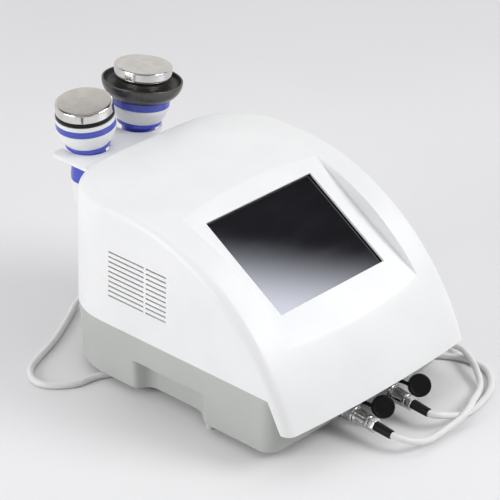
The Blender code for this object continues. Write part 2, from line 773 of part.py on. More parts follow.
def base_ring(height, inset):
    return [(x, y, height) for x, y in base_outline(base_inset(height) + inset)]


def recess_block(bm, side, grow):
    """The space of one hand recess, grown by a wall thickness."""
    out = HALF_WIDTH + OVERRUN
    back = HALF_WIDTH - RECESS_DEPTH - grow
    front = RECESS_FRONT_Y - grow
    rear = RECESS_REAR_Y + grow
    points = [(side * out, front), (side * out, rear), (side * back, rear - RECESS_REAR_SLANT),
              (side * back, front + RECESS_FRONT_SLANT)]
    if side < 0:
        points.reverse()
    radii = [0 if abs(x) == out else RECESS_RADIUS for x, y in points]
    low = BASE_BOTTOM - OVERRUN - grow
    outline = round_corners(points, radii, 3)
    prism(bm, outline, low, RECESS_TOP + grow)


def front_socket_place(side):
    """Frame on the front wall at a socket: local Z points out of the wall."""
    y = BASE_FRONT_Y + base_inset(SOCKET_Z)
    turn = math.radians(BASE_DRAFT)
    out = Vector((0, -math.cos(turn), -math.sin(turn)))
    up = Vector((0, -math.sin(turn), math.cos(turn)))
    return oriented(X_AXIS, up, out, (side * SOCKET_X, y, SOCKET_Z))


def rear_place(x, height):
    """Frame on the rear wall of the base: local Z points out of the wall, local Y up along it."""
    y = REAR_WALL_Y - base_inset(height)
    turn = math.radians(BASE_DRAFT)
    out = Vector((0, math.cos(turn), -math.sin(turn)))
    up = Vector((0, math.sin(turn), math.cos(turn)))
    return oriented(-X_AXIS, up, out, (x, y, height))


def oriented(x_axis, y_axis, z_axis, origin):
    """A placement matrix from three axes and an origin."""
    turn = Matrix((x_axis, y_axis, z_axis)).transposed()
    return Matrix.Translation(origin) @ turn.to_4x4()


def make_base_tray(root, finish):
    bm = bmesh.new()
    low = BASE_BOTTOM + BASE_EDGE
    lofted(bm, [base_ring(BASE_BOTTOM, BASE_EDGE), base_ring(low, 0), base_ring(SEAM_HEIGHT, 0)])
    tray = add('base_tray', bm, finish['grey'], root)

    bm = bmesh.new()
    floor = BASE_BOTTOM + BASE_FLOOR
    lofted(bm, [base_ring(floor, BASE_WALL), base_ring(SEAM_HEIGHT + OVERRUN, BASE_WALL)])
    cavity = cutter('cut_tray', bm, root)
    bm = bmesh.new()
    for side in (-1, 1):
        recess_block(bm, side, BASE_WALL)
    combine(cavity, cutter('cut_recess_walls', bm, root))

    bm = bmesh.new()
    case_solid(bm, SKIN + GAP, BASE_BOTTOM - EDGE_FILLET)
    ledge_form = cutter('form_ledge', bm, root)
    bm = bmesh.new()
    ledge_rear = BASE_FRONT_Y + BASE_WALL
    ledge_front = ARC_CREST_Y - ARC_RADIUS - CROWN
    block = rectangle(CASE_WIDTH - BASE_FRONT_RADIUS * 2, ledge_rear - ledge_front,
                      centre=(0, (ledge_rear + ledge_front) / 2))
    prism(bm, block, SEAM_HEIGHT - LEDGE_THICK, SEAM_HEIGHT - GAP)
    ledge = cutter('join_ledge', bm, root)
    combine(ledge, ledge_form, 'INTERSECT')

    bm = bmesh.new()
    for side in (-1, 1):
        recess_block(bm, side, 0)
        disc(bm, BARREL_RADIUS + GAP, -BASE_WALL * 3, BASE_WALL * 3, PLUG_STEPS, front_socket_place(side))
    inlet = rectangle(INLET_WIDTH - INLET_LAP * 2 + GAP * 2, INLET_LENGTH - INLET_LAP * 2 + GAP * 2)
    prism(bm, inlet, -BASE_WALL * 3, BASE_WALL * 3, rear_place(INLET_X, INLET_HEIGHT))
    switch = rectangle(SWITCH_WIDTH - INLET_LAP * 2 + GAP * 2, SWITCH_LENGTH - INLET_LAP * 2 + GAP * 2)
    prism(bm, switch, -BASE_WALL * 3, BASE_WALL * 3, rear_place(SWITCH_X, INLET_HEIGHT))
    openings = cutter('cut_base_openings', bm, root)

    combine(tray, cavity)
    combine(tray, ledge, 'UNION')
    combine(tray, openings)


def make_feet(root, finish):
    spots = {'front': (HALF_WIDTH - FOOT_FRONT_INSET, FOOT_FRONT_Y),
             'rear': (HALF_WIDTH - FOOT_REAR_INSET, FOOT_REAR_Y)}
    top = BASE_BOTTOM - GAP
    edge = FOOT_RADIUS / 5
    profile = [(0, 0), (FOOT_RADIUS - edge * 2, 0), (FOOT_RADIUS - edge, edge), (FOOT_RADIUS, top),
               (0, top)]
    for end, (x, y) in spots.items():
        for side, sign in (('left', -1), ('right', 1)):
            bm = bmesh.new()
            turned(bm, profile, SMALL_STEPS, at(sign * x, y))
            add('foot_' + end + '_' + side, bm, finish['clear'], root)


# Rear shelf

def shelf_outline():
    """Plan of the shelf: a plate with two notches open to the rear, the right one ending in a hook."""
    wall = REAR_WALL_Y + GAP
    rear = HANDPIECE_Y + SHELF_REAR_REACH
    left = -HANDPIECE_X - NOTCH_RADIUS - SHELF_LEFT_PRONG
    right = HANDPIECE_X - SHELF_RIGHT_CUT
    outer = NOTCH_RADIUS + HOOK_WALL
    steps = 10
    notch_a = arc_points((-HANDPIECE_X, HANDPIECE_Y), NOTCH_RADIUS, 360, 180, steps)
    notch_b = arc_points((HANDPIECE_X, HANDPIECE_Y), NOTCH_RADIUS, 180, 360, steps)
    cut_angle = 270 - math.degrees(math.asin(SHELF_RIGHT_CUT / outer))
    hook = arc_points((HANDPIECE_X, HANDPIECE_Y), outer, 360, cut_angle, steps - 2)
    prong = (HANDPIECE_X - NOTCH_RADIUS, rear)
    turn = SHELF_ROUNDING
    left_end = round_corners([(left, wall), (-HANDPIECE_X - NOTCH_RADIUS, rear), (left, rear)],
                             [0, turn / 4, turn], 3)[1:]
    middle = [(-prong[0], rear - turn / 4), (-prong[0] + turn / 4, rear), (prong[0] - turn / 4, rear),
              (prong[0], rear - turn / 4)]
    return ([(right, wall)] + hook[::-1] + notch_b[::-1] + middle[::-1] + notch_a + left_end
            + [(left, wall)])


def shelf_screw_spots():
    span = FLANGE_RIGHT_X - FLANGE_LEFT_X
    height = SHELF_TOP - SHELF_THICK - FLANGE_DROP / 2
    return [(FLANGE_LEFT_X + span * share, height) for share in (0.16, 0.5, 0.84)]


def make_shelf(root, finish):
    under = SHELF_TOP - SHELF_THICK
    bm = bmesh.new()
    prism(bm, shelf_outline(), under, SHELF_TOP)
    shelf = add('handpiece_shelf', bm, finish['white'], root)

    wall = REAR_WALL_Y + GAP
    bm = bmesh.new()
    flange = rectangle(FLANGE_RIGHT_X - FLANGE_LEFT_X, FLANGE_THICK,
                       centre=((FLANGE_RIGHT_X + FLANGE_LEFT_X) / 2, wall + FLANGE_THICK / 2))
    prism(bm, flange, under - FLANGE_DROP, under + SHELF_THICK / 2)
    combine(shelf, cutter('join_flange', bm, root), 'UNION')

    bm = bmesh.new()
    inner = wall + FLANGE_THICK / 2
    reach = inner + GUSSET_REACH
    mid = under + SHELF_THICK / 2
    corner = [(inner, under - GUSSET_REACH), (reach, mid), (inner, mid)]
    span = FLANGE_RIGHT_X - FLANGE_LEFT_X
    for share in (0.04, 0.33, 0.67, 0.96):
        x = FLANGE_LEFT_X + span * share
        prism(bm, corner, x - GUSSET_THICK / 2, x + GUSSET_THICK / 2, ALONG_X)
    combine(shelf, cutter('join_gussets', bm, root), 'UNION')

    outward = Matrix(((1, 0, 0, 0), (0, 0, 1, 0), (0, -1, 0, 0), (0, 0, 0, 1)))
    bm = bmesh.new()
    shank = SHELF_SCREW_RADIUS / 2
    for x, z in shelf_screw_spots():
        disc(bm, shank + GAP, -OVERRUN, OVERRUN, SMALL_STEPS, at(x, wall, z) @ outward)
    holes = cutter('cut_shelf_holes', bm, root)
    combine(shelf, holes)
    combine(bpy.data.objects['upper_case'], holes)

    base = wall + FLANGE_THICK + GAP
    head = SHELF_SCREW_RADIUS
    profile = [(0, -FLANGE_THICK - SKIN * 2), (shank, -FLANGE_THICK - SKIN * 2), (shank, 0), (head, 0),
               (head * 0.9, head / 3), (head / 2, head * 0.6), (0, head * 0.6)]
    for index, (x, z) in enumerate(shelf_screw_spots(), 1):
        bm = bmesh.new()
        turned(bm, profile, SMALL_STEPS, at(x, base, z) @ outward)
        add('shelf_screw_' + str(index), bm, finish['steel'], root)


# Handpieces

def handpiece_place(x, lean):
    """Frame at the lower face of the ring that rests on the shelf, leaning sideways."""
    edge = RING_RADIUS * abs(math.sin(math.radians(lean)))
    spot = Matrix.Translation((x, HANDPIECE_Y, SHELF_TOP + edge + GAP))
    return spot @ Matrix.Rotation(math.radians(lean), 4, 'Y')


def make_grip(tag, holder, ring_height, finish):
    """Blue ring and neck, white tail and the rubber boot where the cable comes out."""
    bore = NECK_RADIUS - GRIP_WALL
    bm = bmesh.new()
    profile = [(bore, ring_height), (RING_RADIUS - ring_height / 8, ring_height), (RING_RADIUS, 0),
               (NECK_RADIUS, 0), (NECK_RADIUS * 1.03, -GRIP_LENGTH * 0.4), (GRIP_RADIUS, -GRIP_LENGTH),
               (GRIP_RADIUS - GRIP_WALL, -GRIP_LENGTH), (bore, -GRIP_LENGTH * 0.4)]
    turned(bm, profile, BODY_STEPS, ring=True)
    add('grip_' + tag, bm, finish['blue'], holder)

    top = -GRIP_LENGTH - GAP
    end = top - TAIL_LENGTH
    shoulder = top - TAIL_LENGTH * 0.64
    inner = GRIP_RADIUS - GRIP_WALL
    bm = bmesh.new()
    profile = [(0, end), (TAIL_END_RADIUS, end), (GRIP_RADIUS * 0.8, shoulder),
               (GRIP_RADIUS * 0.955, top - TAIL_LENGTH * 0.42), (GRIP_RADIUS, top), (inner, top),
               (GRIP_RADIUS * 0.78, shoulder + GRIP_WALL * 2), (0, end + GRIP_WALL)]
    turned(bm, profile, BODY_STEPS)
    add('tail_' + tag, bm, finish['white'], holder)

    boot = end - GAP
    tip = boot - BOOT_LENGTH
    bm = bmesh.new()
    profile = [(0, tip), (BOOT_TIP_RADIUS, tip), (BOOT_RADIUS, boot - BOOT_LENGTH * 0.15),
               (BOOT_RADIUS, boot), (0, boot)]
    turned(bm, profile, SMALL_STEPS)
    add('boot_' + tag, bm, finish['white'], holder)
    return tip


def make_band(name, holder, radii, low, high, wall, finish):
    """A ring of the handpiece's barrel, from its lower radius to its upper one."""
    lower, upper = radii
    middle = lower + (upper - lower) * 0.68
    bm = bmesh.new()
    if lower == upper:
        profile = [(lower, low), (upper, high), (upper - wall, high), (lower - wall, low)]
    else:
        profile = [(lower, low), (middle, low + (high - low) / 2), (upper, high), (upper - wall, high),
                   (middle - wall, low + (high - low) / 2), (lower - wall, low)]
    turned(bm, profile, BODY_STEPS, ring=True)
    return add(name, bm, finish, holder)


def make_transducer(tag, holder, top, finish):
    """Clamped ultrasound stack: tail mass, driver discs and the bolt up to the head."""
    disc_top = top - STACK_BOLT_HEIGHT
    disc_low = disc_top - STACK_DISC_HEIGHT
    bm = bmesh.new()
    profile = [(0, GRIP_WALL), (STACK_RADIUS, GRIP_WALL), (STACK_RADIUS, disc_low),
               (STACK_DISC_RADIUS, disc_low), (STACK_DISC_RADIUS, disc_top),
               (STACK_BOLT_RADIUS, disc_top), (STACK_BOLT_RADIUS, top), (0, top)]
    turned(bm, profile, SMALL_STEPS + 2)
    add('transducer_' + tag, bm, finish['nickel'], holder)


def make_handpiece_a(holder, finish):
    tip = make_grip('a', holder, A_RING_HEIGHT, finish)
    low = A_RING_HEIGHT
    high = low + A_COLLAR_HEIGHT
    radii = (RING_RADIUS, A_COLLAR_RADIUS)
    make_band('collar_a', holder, radii, low + GAP, high, COLLAR_WALL, finish['white'])
    low, high = high, high + A_STRIPE_HEIGHT
    radii = (A_COLLAR_RADIUS, A_COLLAR_RADIUS)
    make_band('stripe_a', holder, radii, low + GAP, high, COLLAR_WALL, finish['blue'])
    low, high = high, high + A_RIM_HEIGHT
    make_band('rim_a', holder, radii, low + GAP, high, COLLAR_WALL * 2, finish['white'])
    low, high = high, high + A_SEAL_HEIGHT
    radii = (A_SEAL_RADIUS, A_SEAL_RADIUS)
    make_band('seal_a', holder, radii, low + GAP, high, COLLAR_WALL * 2, finish['black'])
    low, high = high + GAP, high + A_HEAD_HEIGHT
    edge = A_HEAD_ROUNDING
    bm = bmesh.new()
    profile = [(0, low), (A_HEAD_RADIUS, low), (A_HEAD_RADIUS, high - edge),
               (A_HEAD_RADIUS - edge * 0.3, high - edge * 0.3), (A_HEAD_RADIUS - edge, high), (0, high)]
    turned(bm, profile, BODY_STEPS)
    add('head_a', bm, finish['steel'], holder)
    make_transducer('a', holder, low - GAP, finish)
    return tip


def make_handpiece_b(holder, finish):
    tip = make_grip('b', holder, B_RING_HEIGHT, finish)
    low = B_RING_HEIGHT
    high = low + B_COLLAR_HEIGHT
    radii = (RING_RADIUS, B_COLLAR_RADIUS)
    make_band('collar_b', holder, radii, low + GAP, high, COLLAR_WALL, finish['white'])
    low, high = high, high + B_STRIPE_HEIGHT
    radii = (B_COLLAR_RADIUS, B_COLLAR_RADIUS)
    make_band('stripe_b', holder, radii, low + GAP, high, COLLAR_WALL, finish['blue'])

    foot = high + GAP
    brim = foot + B_CUP_HEIGHT
    floor = foot + B_CUP_FLOOR
    spread = B_CUP_RADIUS - B_CUP_FOOT_RADIUS
    wall = B_CUP_WALL
    bore = STACK_DISC_RADIUS + GAP * 3
    bm = bmesh.new()
    outer = [(B_CUP_FOOT_RADIUS, foot), (B_CUP_FOOT_RADIUS + spread * 0.46, foot + B_CUP_HEIGHT * 0.21),
             (B_CUP_FOOT_RADIUS + spread * 0.83, foot + B_CUP_HEIGHT * 0.5),
             (B_CUP_RADIUS - spread * 0.02, brim - B_CUP_BRIM), (B_CUP_RADIUS, brim)]
    inner = [(B_CUP_RADIUS - wall, brim), (B_CUP_RADIUS - wall * 1.1, brim - B_CUP_BRIM),
             (B_CUP_FOOT_RADIUS + spread * 0.75 - wall, foot + B_CUP_HEIGHT * 0.5),
             (B_CUP_FOOT_RADIUS, floor), (bore, floor)]
    turned(bm, [(bore, foot)] + outer + inner, BODY_STEPS + 2, ring=True)
    add('cup_b', bm, finish['gunmetal'], holder)

    horn_low = floor + GAP
    groove = floor + B_HORN_RISE
    band = groove + B_HORN_GROOVE
    top = band + B_HORN_BAND_HEIGHT
    edge = B_HORN_GROOVE
    bm = bmesh.new()
    profile = [(0, horn_low), (B_HORN_RADIUS - B_CUP_WALL, horn_low), (B_HORN_RADIUS, groove),
               (B_HORN_RADIUS - edge, groove), (B_HORN_RADIUS - edge, band), (B_HORN_BAND_RADIUS, band),
               (B_HORN_BAND_RADIUS, top - edge), (B_HORN_BAND_RADIUS - edge, top), (0, top)]
    turned(bm, profile, BODY_STEPS)
    add('horn_b', bm, finish['chrome'], holder)
    make_transducer('b', holder, horn_low - GAP, finish)
    return tip


# Connectors

def ridged_circle(radius, depth, ridges):
    """A circle with ridges, four points to each."""
    points = []
    for index in range(ridges * 2):
        angle = math.tau * index / (ridges * 2)
        reach = radius - depth * (index % 2)
        points.append((reach * math.cos(angle), reach * math.sin(angle)))
    return points


def make_socket(side, holder, finish):
    """Panel socket: flange outside the wall, barrel through it, a nut behind."""
    bm = bmesh.new()
    inside = -BASE_WALL - GAP
    nut = inside - BARREL_NUT_THICK
    bore = PLUG_NOSE_RADIUS
    mouth = SOCKET_FLANGE_THICK + BARREL_LENGTH
    profile = [(0, nut - BARREL_LENGTH), (BARREL_RADIUS, nut - BARREL_LENGTH), (BARREL_RADIUS, nut),
               (BARREL_NUT_RADIUS, nut), (BARREL_NUT_RADIUS, inside), (BARREL_RADIUS, inside),
               (BARREL_RADIUS, GAP), (SOCKET_FLANGE_RADIUS, GAP),
               (SOCKET_FLANGE_RADIUS - GAP, SOCKET_FLANGE_THICK + GAP),
               (BARREL_RADIUS, SOCKET_FLANGE_THICK + GAP), (BARREL_RADIUS, mouth), (bore, mouth),
               (bore, SOCKET_FLANGE_THICK + GAP), (0, SOCKET_FLANGE_THICK + GAP)]
    turned(bm, profile, PLUG_STEPS)
    add('socket_' + side, bm, finish['nickel'], holder)


def make_plug(side, holder, finish):
    """Plug: knurled coupling nut, ribbed body, clamp nut and sleeve along the socket's axis."""
    nut_end = NUT_START + NUT_LENGTH
    bm = bmesh.new()
    bore = BARREL_RADIUS + GAP
    throat = PLUG_NOSE_RADIUS + GAP
    step = SOCKET_FLANGE_THICK + BARREL_LENGTH + GAP * 2
    outline = ridged_circle(NUT_RADIUS, NUT_RIDGE_DEPTH, NUT_RIDGES)
    circle = ridged_circle(1, 0, NUT_RIDGES)
    rings = [(outline, 1, NUT_START), (outline, 1, nut_end), (circle, throat, nut_end),
             (circle, throat, step), (circle, bore, step), (circle, bore, NUT_START)]
    loops = [[bm.verts.new((x * scale, y * scale, z)) for x, y in points] for points, scale, z in rings]
    for first, second in zip(loops, loops[1:] + loops[:1]):
        for index in range(len(first)):
            after = (index + 1) % len(first)
            bm.faces.new((first[index], first[after], second[after], second[index]))
    add('coupling_nut_' + side, bm, finish['gunmetal'], holder)

    start = nut_end + GAP
    end = start + PLUG_BODY_LENGTH
    profile = [(0, SOCKET_FLANGE_THICK + GAP * 2), (PLUG_NOSE_RADIUS - GAP, SOCKET_FLANGE_THICK + GAP * 2),
               (PLUG_NOSE_RADIUS - GAP, start), (PLUG_BODY_RADIUS, start)]
    for rib in range(PLUG_RIBS):
        share = (rib + 1) / (PLUG_RIBS + 1)
        radius = PLUG_BODY_RADIUS + (PLUG_BODY_TIP_RADIUS - PLUG_BODY_RADIUS) * share
        z = start + PLUG_BODY_LENGTH * share
        profile += [(radius, z - PLUG_RIB_DEPTH), (radius - PLUG_RIB_DEPTH, z), (radius, z + PLUG_RIB_DEPTH)]
    profile += [(PLUG_BODY_TIP_RADIUS, end), (0, end)]
    bm = bmesh.new()
    turned(bm, profile, PLUG_STEPS - 2)
    add('plug_body_' + side, bm, finish['nickel'], holder)

    start, end = end + GAP, end + GAP + CLAMP_LENGTH
    chamfer = CLAMP_RADIUS / 10
    hexagon = arc_points((0, 0), 1, 0, 300, 5)
    rings = [(CLAMP_RADIUS - chamfer, start), (CLAMP_RADIUS, start + chamfer), (CLAMP_RADIUS, end - chamfer),
             (CLAMP_RADIUS - chamfer, end)]
    bm = bmesh.new()
    lofted(bm, [[(x * radius, y * radius, z) for x, y in hexagon] for radius, z in rings])
    add('clamp_nut_' + side, bm, finish['gunmetal'], holder, smooth=False)

    start, end = end + GAP, end + GAP + SLEEVE_LENGTH
    bm = bmesh.new()
    profile = [(0, start), (SLEEVE_RADIUS * 1.1, start), (SLEEVE_RADIUS, end - SLEEVE_RADIUS / 4),
               (SLEEVE_RADIUS * 0.9, end), (0, end)]
    turned(bm, profile, SMALL_STEPS)
    add('sleeve_' + side, bm, finish['black'], holder)
    return end


def make_dust_cap(side, holder, finish):
    """Rubber cap on a strap, whose ring sits on the barrel between flange and coupling nut."""
    ring_low = SOCKET_FLANGE_THICK + GAP * 2
    ring_radius = BARREL_RADIUS + GAP
    facing = Vector(CAP_FACING_SHARES).normalized()
    centre = Vector((CAP_OUT, STRAP_THICK / 2, CAP_FORWARD))
    ring_middle = Vector((ring_radius + STRAP_RING_WALL / 2, 0, ring_low + STRAP_RING_WIDTH / 2))
    toward = ring_middle - centre
    toward = (toward - facing * toward.dot(facing)).normalized()
    side_axis = facing.cross(toward)
    back = centre - facing * CAP_DEPTH
    bm = bmesh.new()
    inner = CAP_RADIUS - CAP_WALL
    profile = [(0, CAP_DEPTH - CAP_WALL), (inner, CAP_DEPTH - CAP_WALL), (inner, 0), (CAP_RADIUS, 0),
               (CAP_RADIUS, CAP_DEPTH - CAP_WALL / 2), (CAP_RADIUS - CAP_WALL / 2, CAP_DEPTH), (0, CAP_DEPTH)]
    turned(bm, profile, PLUG_STEPS - 2, oriented(toward, side_axis, facing, back))
    loop = [(ring_radius, ring_low), (ring_radius + STRAP_RING_WALL, ring_low),
            (ring_radius + STRAP_RING_WALL, ring_low + STRAP_RING_WIDTH),
            (ring_radius, ring_low + STRAP_RING_WIDTH)]
    turned(bm, loop, PLUG_STEPS, ring=True)
    cap = add('dust_cap_' + side, bm, finish['black'], holder)

    end = centre + toward * (CAP_RADIUS - CAP_WALL / 2) - facing * CAP_WALL
    bend = Vector((end.x, 0, ring_middle.z))
    bm = bmesh.new()
    swept(bm, bezier(ring_middle, bend, end, 5), Y_AXIS, STRAP_WIDTH, STRAP_THICK)
    combine(cap, cutter('join_strap_' + side, bm, holder), 'UNION')


# Fan

def make_fan(root, finish):
    """Axial fan against the right wall: square frame, spider on the inner side, seven-blade rotor."""
    outer_face = HALF_WIDTH - SKIN - GAP
    middle_y = (LOUVRE_FRONT_Y + LOUVRE_REAR_Y) / 2
    middle_z = LOUVRE_BOTTOM + LOUVRE_COUNT * LOUVRE_PITCH / 2
    place = oriented(Y_AXIS, Z_AXIS, X_AXIS, (outer_face - FAN_DEPTH, middle_y, middle_z))
    holder = empty('fan_axis', root, place)

    steps = 24
    square = []
    for index in range(steps):
        angle = math.tau * index / steps
        reach = FAN_SIZE / 2 / max(abs(math.cos(angle)), abs(math.sin(angle)))
        square.append((reach * math.cos(angle), reach * math.sin(angle)))
    bore = arc_points((0, 0), FAN_BORE_RADIUS, 0, 360 - 360 / steps, steps - 1)
    bm = bmesh.new()
    frame(bm, square, bore, 0, FAN_DEPTH)
    body = add('fan_frame', bm, finish['black'], holder, smooth=False)

    outline = []
    half = FAN_ARM_WIDTH / 2
    reach = FAN_BORE_RADIUS + FAN_ARM_WIDTH / 4
    for index in range(4):
        turn = Matrix.Rotation(math.tau * index / 4, 2)
        root_x = math.sqrt(FAN_HUB_RADIUS ** 2 - half ** 2)
        corner = FAN_HUB_RADIUS * math.sqrt(0.5)
        for point in ((root_x, -half), (reach, -half), (reach, half), (root_x, half), (corner, corner)):
            outline.append(tuple(turn @ Vector(point)))
    bm = bmesh.new()
    prism(bm, outline, GAP, FAN_SPIDER_THICK)
    combine(body, cutter('join_spider', bm, holder), 'UNION')

    low = FAN_SPIDER_THICK + GAP
    high = FAN_DEPTH - FAN_SPIDER_THICK
    bm = bmesh.new()
    disc(bm, FAN_HUB_RADIUS, low, high, PLUG_STEPS)
    rotor = add('fan_rotor', bm, finish['black'], holder)
    bm = bmesh.new()
    tip = FAN_BORE_RADIUS - FAN_BLADE_CLEARANCE
    root_radius = FAN_HUB_RADIUS - FAN_BLADE_THICK
    blade_low = low + FAN_BLADE_THICK
    blade_high = high - FAN_BLADE_THICK
    half = FAN_BLADE_THICK / 2
    for index in range(FAN_BLADES):
        turn = Matrix.Rotation(math.tau * index / FAN_BLADES, 4, 'Z')
        rings = []
        for radius, sweep in ((root_radius, 0.32), ((root_radius + tip) / 2, 0.3), (tip, 0.26)):
            reach = radius * math.tan(sweep) if radius < tip else tip * math.tan(sweep)
            out = math.sqrt(max(radius ** 2 - reach ** 2, 0))
            rings.append([(out, -reach - half, blade_low), (out, -reach + half, blade_low),
                          (out, reach + half, blade_high), (out, reach - half, blade_high)])
        lofted(bm, rings, turn)
    combine(rotor, cutter('join_blades', bm, holder), 'UNION')


# Power parts

def make_chassis(root, finish):
    """Sheet plate on the tray's floor, with four pressed-in standoffs for the driver board."""
    bm = bmesh.new()
    length = PLATE_REAR_Y - PLATE_FRONT_Y
    outline = rectangle(PLATE_WIDTH, length, STANDOFF_EDGE, 2, centre=(0, PLATE_FRONT_Y + length / 2))
    prism(bm, outline, PLATE_BOTTOM, PLATE_TOP)
    plate = add('chassis_plate', bm, finish['sheet'], root, smooth=False)
    bm = bmesh.new()
    for side in (-1, 1):
        for end in (-1, 1):
            spot = at(side * (DRIVER_BOARD_WIDTH / 2 - STANDOFF_EDGE),
                      DRIVER_BOARD_Y + end * (DRIVER_BOARD_LENGTH / 2 - STANDOFF_EDGE))
            disc(bm, STANDOFF_RADIUS, PLATE_BOTTOM + PLATE_THICK / 2, PLATE_TOP + STANDOFF_HEIGHT,
                 SMALL_STEPS, spot)
    combine(plate, cutter('join_standoffs', bm, root), 'UNION')


def make_power_supply(root, finish):
    """Boxed supply with a terminal strip along its front edge."""
    seat = PLATE_TOP + GAP
    bm = bmesh.new()
    body = rectangle(SUPPLY_WIDTH, SUPPLY_LENGTH, centre=(SUPPLY_X, SUPPLY_Y))
    short = rectangle(SUPPLY_WIDTH, SUPPLY_LENGTH * 0.86, centre=(SUPPLY_X, SUPPLY_Y + SUPPLY_LENGTH * 0.07))
    shelf = seat + SUPPLY_HEIGHT * 0.45
    lofted(bm, [[(x, y, seat) for x, y in body], [(x, y, shelf) for x, y in body],
                [(x, y, shelf) for x, y in short], [(x, y, seat + SUPPLY_HEIGHT) for x, y in short]])
    add('power_supply', bm, finish['sheet'], root, smooth=False)


def make_transformer(root, finish):
    """Laminated core with the taped coil bulging out of its two open sides."""
    seat = PLATE_TOP + GAP
    bm = bmesh.new()
    core = rectangle(TRANSFORMER_WIDTH, TRANSFORMER_LENGTH - TRANSFORMER_COIL_REACH * 2,
                     centre=(TRANSFORMER_X, TRANSFORMER_Y))
    prism(bm, core, seat, seat + TRANSFORMER_HEIGHT)
    body = add('transformer', bm, finish['copper'], root, smooth=False)
    bm = bmesh.new()
    yoke = TRANSFORMER_HEIGHT / 6
    coil = rectangle(TRANSFORMER_WIDTH - yoke * 2, TRANSFORMER_LENGTH, TRANSFORMER_COIL_REACH / 2,
                     centre=(TRANSFORMER_X, TRANSFORMER_Y))
    prism(bm, coil, seat + yoke, seat + TRANSFORMER_HEIGHT - yoke)
    combine(body, cutter('join_coil', bm, root), 'UNION')


def make_driver(root, finish):
    """Driver board on the plate's standoffs, with a finned heat sink on its output stage."""
    board = PLATE_TOP + STANDOFF_HEIGHT + GAP
    bm = bmesh.new()
    outline = rectangle(DRIVER_BOARD_WIDTH, DRIVER_BOARD_LENGTH, centre=(0, DRIVER_BOARD_Y))
    prism(bm, outline, board, board + BOARD_THICK)
    add('driver_board', bm, finish['board'], root, smooth=False)

    low = board + BOARD_THICK + GAP
    pitch = (SINK_WIDTH - SINK_FIN_THICK) / (SINK_FINS - 1)
    comb = [(SINK_WIDTH / 2, 0)]
    for fin in reversed(range(SINK_FINS)):
        left = fin * pitch - SINK_WIDTH / 2
        right = left + SINK_FIN_THICK
        comb += [(right, SINK_BASE), (right, SINK_HEIGHT), (left, SINK_HEIGHT), (left, SINK_BASE)]
    del comb[1]
    comb[-1] = (-SINK_WIDTH / 2, 0)
    bm = bmesh.new()
    upright = oriented(X_AXIS, Z_AXIS, -Y_AXIS, (0, DRIVER_BOARD_Y, low))
    prism(bm, comb, -SINK_LENGTH / 2, SINK_LENGTH / 2, upright)
    add('heat_sink', bm, finish['nickel'], root, smooth=False)


# Mains inlet and switch

def make_inlet(root, finish):
    """Fused mains inlet: a flange on the wall, the mouth with three pins, a drawer below."""
    holder = empty('inlet_frame', root, rear_place(INLET_X, INLET_HEIGHT))
    body_width = INLET_WIDTH - INLET_LAP * 2
    body_length = INLET_LENGTH - INLET_LAP * 2
    front = INLET_FLANGE + GAP
    bm = bmesh.new()
    body = rectangle(body_width, body_length)
    plate = rectangle(INLET_WIDTH, INLET_LENGTH)
    lofted(bm, [[(x, y, -INLET_DEPTH) for x, y in body], [(x, y, GAP) for x, y in body],
                [(x, y, GAP) for x, y in plate], [(x, y, front) for x, y in plate]])
    inlet = add('mains_inlet', bm, finish['black'], holder, smooth=False)

    web = (body_length - INLET_MOUTH_LENGTH - DRAWER_LENGTH) / 3
    mouth_y = body_length / 2 - web - INLET_MOUTH_LENGTH / 2
    drawer_y = mouth_y - INLET_MOUTH_LENGTH / 2 - web - DRAWER_LENGTH / 2
    x = INLET_MOUTH_WIDTH / 2
    y = INLET_MOUTH_LENGTH / 2
    cut = y / 2
    mouth = [(-x, mouth_y - y), (x, mouth_y - y), (x, mouth_y + y - cut), (x - cut, mouth_y + y),
             (cut - x, mouth_y + y), (-x, mouth_y + y - cut)]
    bm = bmesh.new()
    prism(bm, mouth, front - INLET_MOUTH_DEPTH, front + OVERRUN)
    cavity = cutter('cut_inlet_mouth', bm, holder)
    bm = bmesh.new()
    for step, rise in ((-1, 0), (0, INLET_PIN_WIDTH / 2), (1, 0)):
        pin = rectangle(INLET_PIN_THICK, INLET_PIN_WIDTH, centre=(step * INLET_PIN_PITCH, mouth_y + rise))
        prism(bm, pin, front - INLET_MOUTH_DEPTH - OVERRUN / 4, front - INLET_PIN_WIDTH)
    combine(cavity, cutter('form_inlet_pins', bm, holder))
    bm = bmesh.new()
    slot = rectangle(DRAWER_WIDTH + GAP * 2, DRAWER_LENGTH + GAP * 2, centre=(0, drawer_y))
    prism(bm, slot, front - DRAWER_DEPTH - GAP * 2, front + OVERRUN)
    combine(inlet, cavity)
    combine(inlet, cutter('cut_drawer_slot', bm, holder))

    bm = bmesh.new()
    drawer = rectangle(DRAWER_WIDTH, DRAWER_LENGTH, centre=(0, drawer_y))
    grip = rectangle(DRAWER_WIDTH / 3, DRAWER_LENGTH / 2, centre=(0, drawer_y))
    lofted(bm, [[(x, y, front - DRAWER_DEPTH) for x, y in drawer], [(x, y, front) for x, y in drawer],
                [(x, y, front) for x, y in grip], [(x, y, front + INLET_FLANGE / 2) for x, y in grip]])
    add('fuse_drawer', bm, finish['black'], holder, smooth=False)


